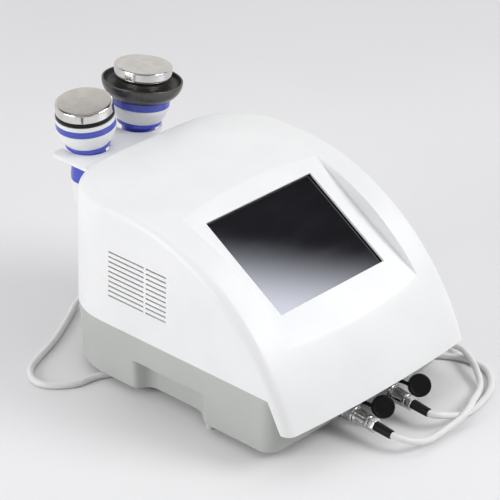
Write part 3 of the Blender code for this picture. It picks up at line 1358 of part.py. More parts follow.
def make_switch(root, finish):
    """Rocker switch: a framed body with the rocker tipped to off."""
    holder = empty('switch_frame', root, rear_place(SWITCH_X, INLET_HEIGHT))
    front = INLET_FLANGE + GAP
    bm = bmesh.new()
    body = rectangle(SWITCH_WIDTH - INLET_LAP * 2, SWITCH_LENGTH - INLET_LAP * 2)
    plate = rectangle(SWITCH_WIDTH, SWITCH_LENGTH)
    lofted(bm, [[(x, y, -SWITCH_DEPTH) for x, y in body], [(x, y, GAP) for x, y in body],
                [(x, y, GAP) for x, y in plate], [(x, y, front) for x, y in plate]])
    housing = add('switch_housing', bm, finish['black'], holder, smooth=False)

    pivot = front - ROCKER_PIVOT_DEPTH
    crest = ROCKER_PIVOT_DEPTH + ROCKER_RISE
    swing = math.hypot(ROCKER_LENGTH / 2, crest) + GAP
    dive = math.hypot(ROCKER_LENGTH / 2, ROCKER_BODY) * math.sin(math.radians(ROCKER_TILT))
    depth = dive + ROCKER_BODY + GAP
    bm = bmesh.new()
    prism(bm, rectangle(ROCKER_WIDTH + GAP * 2, swing * 2), pivot - depth, front + OVERRUN)
    combine(housing, cutter('cut_switch_well', bm, holder))

    tilt = Matrix.Rotation(math.radians(-ROCKER_TILT), 4, 'X')
    axis = empty('rocker_axis', holder, Matrix.Translation((0, 0, pivot)) @ tilt)
    half = ROCKER_LENGTH / 2
    dip = crest - half * math.tan(math.radians(ROCKER_TILT))
    side = [(-half * 0.94, -ROCKER_BODY / 2), (half * 0.94, -ROCKER_BODY / 2), (half, crest), (0, dip),
            (-half, crest)]
    bm = bmesh.new()
    prism(bm, side, -ROCKER_WIDTH / 2, ROCKER_WIDTH / 2, ALONG_X)
    add('power_rocker', bm, finish['black'], axis, smooth=False)


# Cables

def cable_end(holder, end, outward, gap):
    """Two points in the console's frame: just past an end on the axis, and half a width further."""
    frame_matrix = holder.matrix_basis
    near = frame_matrix @ Vector((0, 0, end + outward * gap))
    far = frame_matrix @ Vector((0, 0, end + outward * (gap + CORD_RADIUS)))
    return [tuple(near), tuple(far)]


def make_cable(name, root, start, route, finish_points, finish):
    """A round cable along a smooth curve, as a bevelled poly curve with filled caps."""
    whole = start + list(route) + finish_points[::-1]
    points = smooth_route(whole, CORD_RADIUS * 2 * CORD_STEP_DIAMETERS)
    curve = bpy.data.curves.new(name, 'CURVE')
    curve.dimensions = '3D'
    curve.bevel_depth = CORD_RADIUS
    curve.bevel_resolution = 2
    curve.use_fill_caps = True
    spline = curve.splines.new('POLY')
    spline.points.add(len(points) - 1)
    for target, (x, y, z) in zip(spline.points, points):
        target.co = (x, y, max(z, CABLE_Z_LIMIT), 1)
    curve.materials.append(finish)
    cable = bpy.data.objects.new(name, curve)
    bpy.context.scene.collection.objects.link(cable)
    cable.parent = root
    return cable


def centre_on_floor(root, left_out):
    """Move the whole machine so that the origin is under the middle of its bounding box."""
    bpy.context.view_layer.update()
    graph = bpy.context.evaluated_depsgraph_get()
    low = Vector((math.inf, math.inf))
    high = Vector((-math.inf, -math.inf))
    for item in bpy.context.scene.objects:
        if item.type != 'MESH' or item.hide_render or item.name.startswith(left_out):
            continue
        for vert in item.evaluated_get(graph).data.vertices:
            spot = item.matrix_world @ vert.co
            for axis in (0, 1):
                low[axis] = min(low[axis], spot[axis])
                high[axis] = max(high[axis], spot[axis])
    root.location = (-(low[0] + high[0]) / 2, -(low[1] + high[1]) / 2, 0)


def main():
    for item in list(bpy.data.objects):
        bpy.data.objects.remove(item)
    finish = make_materials()
    root = empty('machine', None, Matrix.Identity(4))

    slope = math.radians(PANEL_SLOPE)
    normal = Vector((0, -math.sin(slope), math.cos(slope)))
    foot = Vector((0, ARC_CREST_Y, ARC_CENTRE_Z)) + normal * (ARC_RADIUS - PANEL_SINK)
    panel = empty('panel_frame', root, Matrix.Translation(foot) @ Matrix.Rotation(slope, 4, 'X'))

    make_upper_case(root, panel, finish)
    make_screen(panel, finish)
    make_base_tray(root, finish)
    make_feet(root, finish)
    make_shelf(root, finish)
    make_chassis(root, finish)
    make_power_supply(root, finish)
    make_transformer(root, finish)
    make_driver(root, finish)
    make_fan(root, finish)
    make_inlet(root, finish)
    make_switch(root, finish)

    hand_a = empty('handpiece_a_axis', root, handpiece_place(-HANDPIECE_X, LEAN_A))
    hand_b = empty('handpiece_b_axis', root, handpiece_place(HANDPIECE_X, LEAN_B))
    tip_a = make_handpiece_a(hand_a, finish)
    tip_b = make_handpiece_b(hand_b, finish)

    ends = {}
    for side, sign in (('left', -1), ('right', 1)):
        socket = empty('socket_axis_' + side, root, front_socket_place(sign))
        make_socket(side, socket, finish)
        ends[side] = cable_end(socket, make_plug(side, socket, finish), 1, GAP)
        make_dust_cap(side, socket, finish)

    end_a = cable_end(hand_a, tip_a, -1, GAP)
    end_b = cable_end(hand_b, tip_b, -1, GAP)
    make_cable('cable_a', root, ends['right'], CABLE_A_ROUTE, end_a, finish['cable'])
    make_cable('cable_b', root, ends['left'], CABLE_B_ROUTE, end_b, finish['cable'])
    on_cables = ('cable', 'plug_body', 'clamp_nut', 'sleeve', 'coupling_nut')
    centre_on_floor(root, on_cables)


if __name__ == '__main__':
    main()
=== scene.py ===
"""Dressed model of a cavitation slimming machine, built round its packed CAD frame.

The script is laid out as a Blender add-on: property groups hold the sizes and colours, one operator
makes each piece or group of like pieces, and a panel in the 3D view's sidebar lists them. Run as a
script, it makes the whole machine on a plain studio floor.

Lengths are in metres. Pieces are worked out in the console's own frame, whose origin lies under the
middle of the case's front arc line, and are shifted to the frame of the packed model as they are made.
"""
import math

import bmesh
import bpy
import numpy as np
from bpy.props import FloatProperty, FloatVectorProperty, PointerProperty
from mathutils import Matrix, Vector


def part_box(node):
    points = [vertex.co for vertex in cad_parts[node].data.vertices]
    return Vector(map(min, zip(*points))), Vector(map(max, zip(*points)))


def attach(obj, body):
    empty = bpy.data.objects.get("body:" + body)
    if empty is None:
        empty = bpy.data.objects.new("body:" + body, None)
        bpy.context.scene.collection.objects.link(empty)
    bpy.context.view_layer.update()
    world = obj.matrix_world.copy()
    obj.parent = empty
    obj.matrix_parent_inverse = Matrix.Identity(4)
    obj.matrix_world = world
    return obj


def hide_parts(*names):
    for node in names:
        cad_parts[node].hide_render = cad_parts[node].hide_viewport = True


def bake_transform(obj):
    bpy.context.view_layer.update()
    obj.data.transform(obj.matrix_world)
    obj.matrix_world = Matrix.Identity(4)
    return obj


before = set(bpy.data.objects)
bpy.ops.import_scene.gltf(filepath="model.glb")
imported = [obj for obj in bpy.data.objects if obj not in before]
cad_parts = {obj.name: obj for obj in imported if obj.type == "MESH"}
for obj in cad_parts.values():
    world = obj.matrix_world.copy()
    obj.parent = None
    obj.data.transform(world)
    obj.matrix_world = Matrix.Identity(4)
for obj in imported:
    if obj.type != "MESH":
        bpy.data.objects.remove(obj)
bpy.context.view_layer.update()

bl_info = {
    "name": "Cavitation slimming machine",
    "version": (1, 0, 0),
    "blender": (4, 5, 0),
    "location": "View3D > Sidebar > Console",
    "description": "Makes a desk ultrasound console with its handpieces, cables and studio",
    "category": "Add Mesh",
}

# Clear space between neighbouring pieces
GAP = 0.0003

# Case
HALF_WIDTH = 0.1425
CASE_TOP = 0.2128
SEAM_HEIGHT = 0.075
VISOR_BOTTOM = 0.0435
REAR_WALL_Y = 0.2056
CORNER_RADIUS = 0.074
EDGE_FILLET = 0.011
ARC_RADIUS = 0.263
ARC_CREST_Y = 0.1117
ARC_CENTRE_Z = CASE_TOP - ARC_RADIUS
REAR_ARC_RADIUS = 0.898
CROWN = 0.006
SKIN = 0.0024
RIM_EASE = 0.0003
# The case's lower rim at the visor: it turns up at the heel (y, height), and meets the seam at the root
VISOR_HEEL = (-0.12015, 0.0482)
VISOR_ROOT_Y = -0.10455
CORNER_Y = REAR_WALL_Y - CORNER_RADIUS

# Sunk screen panel
PANEL_SLOPE = math.radians(31.9)
PANEL_HALF = 0.1045
PANEL_SINK = 0.0115
PANEL_REACH = ARC_RADIUS - PANEL_SINK
WINDOW_WIDTH = 0.1625
WINDOW_LENGTH = 0.124
WINDOW_SHIFT = 0.0086
WINDOW_LOW = WINDOW_SHIFT - WINDOW_LENGTH / 2
WINDOW_HIGH = WINDOW_SHIFT + WINDOW_LENGTH / 2
PANEL_NORMAL_ANGLE = math.pi / 2 - PANEL_SLOPE
PANEL_OUT = np.array([0, -math.cos(PANEL_NORMAL_ANGLE), math.sin(PANEL_NORMAL_ANGLE)])
PANEL_UP = np.array([0, math.sin(PANEL_NORMAL_ANGLE), math.cos(PANEL_NORMAL_ANGLE)])
PANEL_MIDDLE = np.array([0, ARC_CREST_Y, ARC_CENTRE_Z]) + PANEL_OUT * PANEL_REACH
# Width over which the panel's two ends blend into the arc
CREASE = 0.0007

# Louvres
LOUVRE_COUNT = 10
LOUVRE_PITCH = 0.0057
LOUVRE_SLOT = 0.0019
LOUVRE_COLUMNS = ((0.036, 0.0645), (0.0675, 0.118))
LOUVRE_BOTTOM = 0.109

# Base tray
BASE_BOTTOM = 0.008
BASE_FRONT_Y = -0.112
BASE_FRONT_RADIUS = 0.016
BASE_DRAFT = math.radians(4.84)
BASE_WALL = 0.0025
RECESS_TOP = 0.043
RECESS_BACK_X = 0.12
# Along y: where a recess starts at the side, where its back wall starts and ends, and where it ends
RECESS_Y = (-0.015, 0.005, 0.074, 0.084)
RECESS_RADII = (0.006, 0.009, 0.009, 0.006)
# Length of the side before and behind a recess that has the recess's points
RECESS_FLANK = 0.012
# Round over a recess's ceiling, the same at its middle, and the depth over which it fades out
RECESS_BROW = 0.0016
RECESS_BROW_MIDDLE = 0.0005
RECESS_FADE = 0.004
# Round along the tray's lower edge
BASE_EDGE = 0.0015
# Two more rows of the tray's wall
ROW_UNDER_RECESS_TOP = 0.033
ROW_UNDER_SEAM = 0.066
# Openings in the tray's rear wall for the mains inlet and the switch: middle x and height, width, length
REAR_OPENINGS = np.array([(0.03, 0.036, 0.0272, 0.0382), (-0.03, 0.036, 0.0112, 0.0248)])
# Bumper feet: the end that they stand at, x and y
FEET = (("front", 0.127, -0.016), ("rear", 0.1, 0.165))
FOOT_RADIUS = 0.006
FOOT_ROUND = 0.0006

# Glass and its gasket
GLASS_THICK = 0.002
GLASS_MARGIN = 0.005
GASKET_THICK = 0.0006
GASKET_SHOWS = 0.0007

# Shelf and handpieces
SHELF_TOP = 0.201
SHELF_THICK = 0.0045
# Round notches of the shelf, the width of its arm beside the left one, and the hook round the right
# one: its width, and how far inwards from the notch's middle it grows out of the shelf
NOTCH_RADIUS = 0.0234
SHELF_ARM = 0.017
HOOK_WIDTH = 0.0026
HOOK_ROOT = 0.0066
# Flange on the wall under the shelf: its ends in x, and the shares of it where gussets and screws are
FLANGE_ENDS = (-0.055, 0.028)
FLANGE_THICK = 0.003
FLANGE_DROP = 0.031
GUSSET_SHARES = (0.04, 0.33, 0.67, 0.96)
SCREW_SHARES = (0.16, 0.5, 0.84)
# Radius and height from a shelf screw's tip to the recess in its head
SHELF_SCREW = ((0, -0.0078), (0.00175, -0.0078), (0.00175, 0), (0.0035, 0), (0.0033, 0.0012),
               (0.0021, 0.0021), (0.0012, 0.0022), (0.0011, 0.0009), (0, 0.0008))
HANDPIECE_X = 0.0396
HANDPIECE_Y = 0.2505
LEAN_A = math.radians(-6.5)
LEAN_B = math.radians(5.5)
RING_RADIUS = 0.0245
NECK_RADIUS = 0.0186
GRIP_RADIUS = 0.0216
GRIP_LENGTH = 0.04
TAIL_LENGTH = 0.0585
BOOT_LENGTH = 0.027
GRIP_WALL = 0.0027
BAND_WALL = 0.0026
TAIL_TOP = -GRIP_LENGTH - GAP
TAIL_END = TAIL_TOP - TAIL_LENGTH
BOOT_TOP = TAIL_END - GAP
BOOT_TIP = BOOT_TOP - BOOT_LENGTH

# Connectors
SOCKET_X = 0.03
SOCKET_Z = 0.0235
# Along a connector's axis, from the wall outwards: where the nut, plug, clamp and sleeve start and end
NUT_LOW = 0.005
NUT_HIGH = 0.022
PLUG_LOW = NUT_HIGH + GAP
PLUG_HIGH = PLUG_LOW + 0.019
CLAMP_LOW = PLUG_HIGH + GAP
CLAMP_HIGH = CLAMP_LOW + 0.0075
SLEEVE_LOW = CLAMP_HIGH + GAP
SLEEVE_LENGTH = 0.02
SLEEVE_HIGH = SLEEVE_LOW + SLEEVE_LENGTH
SOCKET_RADIUS = 0.0083
CLAMP_RADIUS = 0.0082
KNURLS = 24
KNURL_DEPTH = 0.00045
FLUTES = 14
FLUTE_DEPTH = 0.0006
CONNECTOR_ROUND = 0.00025

# Dust caps, in the frame of their socket: the cap's middle, which way it faces, and the strap's ring
CAP_MIDDLE = Vector((0.031, 0.00075, 0.0325))
CAP_FACING = Vector((-0.6, 0.5, 0.61)).normalized()
STRAP_RING_LOW = 0.0026
STRAP_RING_INNER = 0.0086
STRAP_RING_OUTER = 0.0108
STRAP_THICK = 0.0022
STRAP_START = Vector(((STRAP_RING_INNER + STRAP_RING_OUTER) / 2, 0, STRAP_RING_LOW + STRAP_THICK / 2))
STRAP_SECTION = (0.0042, 0.0015)

# Cables
CORD_DIAMETER = 0.0072
CABLE_A_ROUTE = (
    (0.0325, -0.1865, 0.0178), (0.0400, -0.1905, 0.0160), (0.0510, -0.1920, 0.0115),
    (0.0660, -0.1925, 0.0065), (0.0830, -0.1920, 0.0040), (0.1040, -0.1888, 0.0037),
    (0.1237, -0.1834, 0.0037), (0.1442, -0.1715, 0.0037), (0.1602, -0.1525, 0.0037),
    (0.1640, -0.1345, 0.0037), (0.1610, -0.1180, 0.0037), (0.1530, -0.1020, 0.0037),
    (0.1400, -0.0870, 0.0037), (0.1000, -0.0540, 0.0037), (0.0400, -0.0060, 0.0037),
    (-0.0200, 0.0420, 0.0037), (-0.0800, 0.0900, 0.0037), (-0.1180, 0.1230, 0.0037),
    (-0.1414, 0.1362, 0.0037), (-0.1642, 0.1400, 0.0037), (-0.1805, 0.1493, 0.0037),
    (-0.1920, 0.1634, 0.0037), (-0.1925, 0.1801, 0.0037), (-0.1800, 0.1967, 0.0037),
    (-0.1598, 0.2071, 0.0037), (-0.1226, 0.2215, 0.0037), (-0.0804, 0.2430, 0.0037),
    (-0.0500, 0.2600, 0.0060), (-0.0310, 0.2600, 0.0180), (-0.0230, 0.2540, 0.0380),
)
CABLE_B_ROUTE = (
    (-0.0275, -0.1885, 0.0165), (-0.0210, -0.1950, 0.0140), (-0.0090, -0.1990, 0.0100),
    (0.0050, -0.1995, 0.0070), (0.0200, -0.1990, 0.0062), (0.0360, -0.1992, 0.0075),
    (0.0500, -0.2000, 0.0098), (0.0631, -0.1990, 0.0124), (0.0765, -0.1948, 0.0133),
    (0.0890, -0.1888, 0.0125), (0.1005, -0.1838, 0.0102), (0.1190, -0.1745, 0.0062),
    (0.1301, -0.1669, 0.0065), (0.1374, -0.1593, 0.0085), (0.1490, -0.1440, 0.0112),
    (0.1590, -0.1280, 0.0119), (0.1680, -0.1130, 0.0100), (0.1735, -0.0960, 0.0062),
    (0.1720, -0.0790, 0.0038), (0.1650, -0.0550, 0.0037), (0.1610, -0.0250, 0.0037),
    (0.1640, 0.0200, 0.0037), (0.1710, 0.0700, 0.0037), (0.1750, 0.1200, 0.0037),
    (0.1680, 0.1700, 0.0037), (0.1470, 0.2120, 0.0037), (0.1150, 0.2420, 0.0037),
    (0.0800, 0.2590, 0.0042), (0.0500, 0.2640, 0.0110), (0.0320, 0.2590, 0.0240),
    (0.0260, 0.2530, 0.0430),
)
# Spacing of the even points along a cable's path.
CABLE_STEP = 0.0024

TAU = math.tau
# Points closer than this are merged, and edges shorter than this are taken out
MERGED = 0.000002
SLIVER = 0.000001
# Points of a CAD node closer than this are merged before its edges are eased
NODE_MERGED = 0.00001
SMOOTH_ANGLE = math.radians(38)
SHIFT = np.array([0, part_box("upper_case")[1][1] - REAR_WALL_Y, 0])


# Sizes and colours

def colour(label, about, value):
    return FloatVectorProperty(name=label, description=about, subtype="COLOR", size=3, min=0, max=1,
                               default=value)


def size(label, about, value):
    return FloatProperty(name=label, description=about, subtype="DISTANCE", unit="LENGTH", min=0,
                         default=value)


class ShellSettings(bpy.types.PropertyGroup):
    """Moulded shells of the console."""
    white: colour("White shell", "Upper case, shelf and handpiece bands", (0.87, 0.875, 0.875))
    grey: colour("Grey shell", "Base tray", (0.505, 0.52, 0.495))
    grain: size("Mould grain", "Width of the fine grain on moulded faces", 0.0005)
    pocket_round: size("Pocket round", "Radius along the sides of the screen pocket", 0.0014)
    lip_round: size("Lip round", "Radius along the edge of the window", 0.0005)


class HandpieceSettings(bpy.types.PropertyGroup):
    """The two handpieces."""
    blue: colour("Blue shell", "Grips and bands", (0.055, 0.085, 0.53))
    steel: colour("Steel", "Flat head and small fasteners", (0.76, 0.745, 0.72))
    horn: colour("Horn", "Polished horn", (0.7, 0.69, 0.68))
    cup: colour("Cup", "Dark cup round the horn", (0.11, 0.108, 0.105))
    a_head_radius: size("Flat head radius", "Radius of the flat steel head", 0.0315)
    b_cup_radius: size("Cup radius", "Outer radius of the cup's brim", 0.0444)


class ConnectorSettings(bpy.types.PropertyGroup):
    """Connectors, dust caps and cables."""
    nickel: colour("Plated metal", "Sockets and plugs", (0.74, 0.74, 0.73))
    rubber: colour("Black rubber", "Dust caps, sleeves and seals", (0.006, 0.006, 0.0065))
    cable: colour("Cable", "Cable sheath and boots", (0.8, 0.8, 0.79))
    cap_radius: size("Cap radius", "Radius of a dust cap", 0.0125)


class StudioSettings(bpy.types.PropertyGroup):
    """Floor and screen."""
    floor: colour("Floor", "Paper under the machine", (0.81, 0.803, 0.809))
    screen: colour("Screen", "Unlit display behind its glass", (0.011, 0.011, 0.013))


# Form: grids of points gathered into one mesh

class Form:
    """Collects rows-by-columns grids of points, and turns them into one object."""

    def __init__(self):
        self.points = []
        self.pattern = []
        self.faces = []
        self.count = 0

    def take(self, points, pattern=None):
        """Add points without faces, and return their numbers in the same layout."""
        shape = points.shape[:-1]
        amount = int(np.prod(shape))
        self.points.append(points.reshape(amount, 3))
        flat = np.zeros((amount, 2)) if pattern is None else pattern.reshape(amount, 2)
        self.pattern.append(flat)
        self.count += amount
        return np.arange(self.count - amount, self.count).reshape(shape)

    def grid(self, points, pattern=None, skip=None):
        """Join neighbours with quads: face (i, j) spans rows i, i+1 and columns j, j+1."""
        index = self.take(points, pattern)
        quads = np.stack([index[:-1, :-1], index[:-1, 1:], index[1:, 1:], index[1:, :-1]], axis=-1)
        if skip is not None:
            quads = quads[~skip]
        self.faces += quads.reshape(-1, 4).tolist()
        return index

    def lid(self, loop):
        """Close a loop of point numbers with one face."""
        self.faces.append(list(loop))

    def build(self, name, finish, open_shell=False):
        """Make the object: the pattern becomes its UV map, doubles are merged, faces point outwards."""
        points = np.concatenate(self.points) + SHIFT
        pattern = np.concatenate(self.pattern)
        mesh = bpy.data.meshes.new(name)
        mesh.from_pydata(points.tolist(), [], self.faces)
        corners = np.zeros(len(mesh.loops), dtype=np.int64)
        mesh.loops.foreach_get("vertex_index", corners)
        layer = mesh.uv_layers.new(name="pattern")
        layer.data.foreach_set("uv", pattern[corners].astype(np.float32).ravel())
        bm = bmesh.new()
        bm.from_mesh(mesh)
        bmesh.ops.remove_doubles(bm, verts=bm.verts, dist=MERGED)
        bmesh.ops.dissolve_degenerate(bm, edges=bm.edges, dist=SLIVER)
        bmesh.ops.recalc_face_normals(bm, faces=bm.faces)
        bm.to_mesh(mesh)
        bm.free()
        made = bpy.data.objects.new(name, mesh)
        bpy.context.scene.collection.objects.link(made)
        mesh.materials.append(finish)
        if open_shell:
            turn_outwards(mesh)
            return made
        return settle(made)


def turn_outwards(mesh):
    """Turn an open shell's faces round where, by area, they face its middle: the sum over all faces of
    area times normal times the way from the middle is then below zero."""
    count = len(mesh.polygons)
    area = np.zeros(count, dtype=np.float32)
    centre = np.zeros((count, 3), dtype=np.float32)
    normal = np.zeros((count, 3), dtype=np.float32)
    mesh.polygons.foreach_get("area", area)
    mesh.polygons.foreach_get("center", centre.ravel())
    mesh.polygons.foreach_get("normal", normal.ravel())
    outward = ((centre - centre.mean(axis=0)) * normal).sum(axis=1)
    if np.dot(outward, area) < 0:
        mesh.flip_normals()


def settle(made):
    """Put the result of an object's modifiers into its mesh, with normals that follow the larger faces,
    so that flat faces stay flat beside their roundings."""
    made.data.shade_smooth()
    made.data.set_sharp_from_angle(angle=SMOOTH_ANGLE)
    step = made.modifiers.new("normals", "WEIGHTED_NORMAL")
    step.mode = "FACE_AREA"
    step.keep_sharp = True
    graph = bpy.context.evaluated_depsgraph_get()
    graph.update()
    mesh = bpy.data.meshes.new_from_object(made.evaluated_get(graph))
    made.modifiers.clear()
    made.data = mesh
    return made


def ease(made, width, segments, angle):
    """Bevel the edges that are sharper than an angle in degrees."""
    step = made.modifiers.new("eased", "BEVEL")
    step.width = width
    step.segments = segments
    step.limit_method = "ANGLE"
    step.angle_limit = math.radians(angle)


def thicken(made, wall):
    """Give an open shell its wall inwards, and break its sharp rims."""
    step = made.modifiers.new("wall", "SOLIDIFY")
    step.thickness = wall
    step.offset = -1
    step.use_even_offset = True
    step.use_rim = True
    ease(made, RIM_EASE, 2, 60)
    return settle(made)


def dress(made, body, slot, *nodes):
    """Tell the frame which body carries a piece, and hide the nodes that it stands for. The slot argument
    is not used.
    """
    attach(made, body)
    if nodes:
        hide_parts(*nodes)
    return made


# Lines and sections, as arrays of points

def softened(corners, radius, steps=4, closed=False):
    """Round a line's corners: each becomes a quadratic curve from one side to the other, set back by
    the radius or by 45% of the shorter side."""
    line = np.asarray(corners, dtype=float)
    if closed:
        before, here, after = np.roll(line, 1, axis=0), line, np.roll(line, -1, axis=0)
    else:
        before, here, after = line[:-2], line[1:-1], line[2:]
    into = before - here
    out = after - here
    into_length = np.linalg.norm(into, axis=1, keepdims=True)
    out_length = np.linalg.norm(out, axis=1, keepdims=True)
    reach = np.broadcast_to(np.reshape(radius, (-1, 1)), into_length.shape)
    back = np.minimum(reach, np.minimum(into_length, out_length) * 0.45)
    start = (here + into / into_length * back)[:, None]
    end = (here + out / out_length * back)[:, None]
    t = np.linspace(0, 1, steps + 1)[None, :, None]
    curve = start * (1 - t) ** 2 + here[:, None] * 2 * t * (1 - t) + end * t ** 2
    curve = curve.reshape(-1, line.shape[1])
    return curve if closed else np.concatenate([line[:1], curve, line[-1:]])


def box_line(width, length, middle=(0, 0)):
    """Corners of a rectangle, anticlockwise."""
    shares = np.array([(-0.5, -0.5), (0.5, -0.5), (0.5, 0.5), (-0.5, 0.5)])
    return shares * (width, length) + middle


def arc_line(middle, radius, start, end, steps):
    """Points of an arc between two angles in degrees."""
    turn = np.radians(np.linspace(start, end, steps + 1))
    return np.stack([middle[0] + radius * np.cos(turn), middle[1] + radius * np.sin(turn)], axis=1)


def along(points):
    """Distance along a line at each of its points."""
    steps = np.linalg.norm(np.diff(points, axis=0), axis=1)
    return np.concatenate([[0], np.cumsum(steps)])


def placed(points, place):
    """Points moved by a placement matrix."""
    matrix = np.array(place)
    return points @ matrix[:3, :3].T + matrix[:3, 3]


def axes(origin, x_axis, y_axis, z_axis):
    turn = Matrix((x_axis, y_axis, z_axis)).transposed()
    return Matrix.Translation(origin) @ turn.to_4x4()


# Solids on a Form

def turned(form, profile, place, steps=72, flutes=None):
    """A profile of (radius, height) pairs carried round the local Z axis: x = r cos u, y = r sin u,
    z = h. Flutes may cut r by a function of u and h. The pattern holds the turn and the line's length."""
    profile = np.asarray(profile, dtype=float)
    turn = np.linspace(0, TAU, steps + 1)[None, :]
    height = np.repeat(profile[:, 1:], steps + 1, axis=1)
    radius = np.repeat(profile[:, :1], steps + 1, axis=1)
    if flutes is not None:
        radius = radius - flutes(turn, height) * (radius > 0)
    points = np.stack([radius * np.cos(turn), radius * np.sin(turn), height], axis=-1)
    points[:, -1] = points[:, 0]
    length = np.repeat(along(profile)[:, None], steps + 1, axis=1)
    pattern = np.stack([np.repeat(turn / TAU, len(profile), axis=0), length], axis=-1)
    form.grid(placed(points, place), pattern)


def ring(form, section, place, steps=72, flutes=None):
    """A closed section of (radius, height) pairs carried round the local Z axis."""
    section = np.asarray(section, dtype=float)
    turned(form, np.concatenate([section, section[:1]]), place, steps, flutes)


def plate(form, outline, low, high, place=None, edge=0.0006, steps=3):
    """An outline extruded from low to high, whose two rims are rounded: each ring moves in along the
    outline's own normals by edge (1 - sin a), and up by edge (1 - cos a). One more ring lies on each
    flat face, 1.6 times as far in as the rounding."""
    outline = np.asarray(outline, dtype=float)
    ahead = np.roll(outline, -1, axis=0)
    tangent = ahead - np.roll(outline, 1, axis=0)
    tangent = tangent / np.linalg.norm(tangent, axis=1, keepdims=True)
    area = np.sum(outline[:, 0] * ahead[:, 1] - ahead[:, 0] * outline[:, 1])
    normal = np.stack([tangent[:, 1], -tangent[:, 0]], axis=1) * np.sign(area)
    turn = np.linspace(0, math.pi / 2, steps + 1)
    inset = np.concatenate([[edge * 1.6], edge * (1 - np.sin(turn))])
    rise = np.concatenate([[0], edge * (1 - np.cos(turn))])
    insets = np.concatenate([inset, inset[::-1]])
    heights = np.concatenate([low + rise, high - rise[::-1]])
    flat = outline[None] - normal[None] * insets[:, None, None]
    heights = np.broadcast_to(heights[:, None, None], flat.shape[:2] + (1,))
    points = np.concatenate([flat, heights], axis=2)
    if place is not None:
        points = placed(points, place)
    index = form.grid(np.concatenate([points, points[:, :1]], axis=1))
    form.lid(index[0, :-1])
    form.lid(index[-1, :-1])


def strap(form, path, section, wide):
    """A section carried along a path, its first axis along a fixed direction and its second across it."""
    path = np.asarray(path, dtype=float)
    ahead = np.gradient(path, axis=0)
    ahead = ahead / np.linalg.norm(ahead, axis=1, keepdims=True)
    wide = np.broadcast_to(np.asarray(wide, dtype=float), path.shape)
    thick = np.cross(ahead, wide)
    thick = thick / np.linalg.norm(thick, axis=1, keepdims=True)
    section = np.asarray(section, dtype=float)
    section = np.concatenate([section, section[:1]])
    points = path[:, None] + wide[:, None] * section[None, :, :1] + thick[:, None] * section[None, :, 1:]
    index = form.grid(points)
    form.lid(index[0, :-1])
    form.lid(index[-1, :-1])


def tube(form, path, radius, sides=20):
    """A circle carried along a path. Its frame turns as little as it can: each station's side is the
    one before, less its part along the new direction. The pattern holds the turn and the length."""
    ahead = np.gradient(path, axis=0)
    ahead = ahead / np.linalg.norm(ahead, axis=1, keepdims=True)
    side = np.empty_like(ahead)
    last = np.cross(ahead[0], (0.0, 0.0, 1.0))
    for station, direction in enumerate(ahead):
        last = last - direction * np.dot(last, direction)
        last = last / np.linalg.norm(last)
        side[station] = last
    up = np.cross(side, ahead)
    turn = np.linspace(0, TAU, sides + 1)
    circle = side[:, None] * np.cos(turn)[None, :, None] + up[:, None] * np.sin(turn)[None, :, None]
    points = path[:, None] + radius * circle
    points[:, -1] = points[:, 0]
    length = np.repeat(along(path)[:, None], sides + 1, axis=1)
    pattern = np.stack([np.repeat(turn[None] / TAU, len(path), axis=0), length], axis=-1)
    index = form.grid(points, pattern)
    form.lid(index[0, :-1])
    form.lid(index[-1, :-1])


# Finishes

# Colours of what is inside or small, which a user would seldom change
BLACK_PLASTIC = (0.02, 0.02, 0.022)
PANEL_SILVER = (0.32, 0.33, 0.34)
CLEAR_RUBBER = (0.62, 0.63, 0.64)
ZINC = (0.5, 0.51, 0.52)
MASK_GREEN = (0.02, 0.17, 0.07)
COPPER_UNDER_MASK = (0.035, 0.26, 0.1)
TIN = (0.6, 0.6, 0.56)
TAPE = (0.62, 0.45, 0.12)
TAPE_SHADE = (0.34, 0.22, 0.06)


class Value:
    """A socket that carries numbers. Python's operators on it add Math nodes."""

    def __init__(self, finish, socket):
        self.finish = finish
        self.socket = socket

    def worked(self, operation, first, second):
        made = self.finish.node("ShaderNodeMath", {"operation": operation}, {0: first, 1: second})
        return Value(self.finish, made.outputs[0])

    def __add__(self, other):
        return self.worked("ADD", self, other)

    def __sub__(self, other):
        return self.worked("SUBTRACT", self, other)

    def __mul__(self, other):
        return self.worked("MULTIPLY", self, other)

    def __radd__(self, other):
        return self.worked("ADD", other, self)

    def __rsub__(self, other):
        return self.worked("SUBTRACT", other, self)

    def __rmul__(self, other):
        return self.worked("MULTIPLY", other, self)

    def ramp(self, low, high):
        """A smooth step from 0 at low to 1 at high."""
        inputs = {"Value": self, "From Min": low, "From Max": high}
        made = self.finish.node("ShaderNodeMapRange", {"interpolation_type": "SMOOTHSTEP"}, inputs)
        return Value(self.finish, made.outputs["Result"])


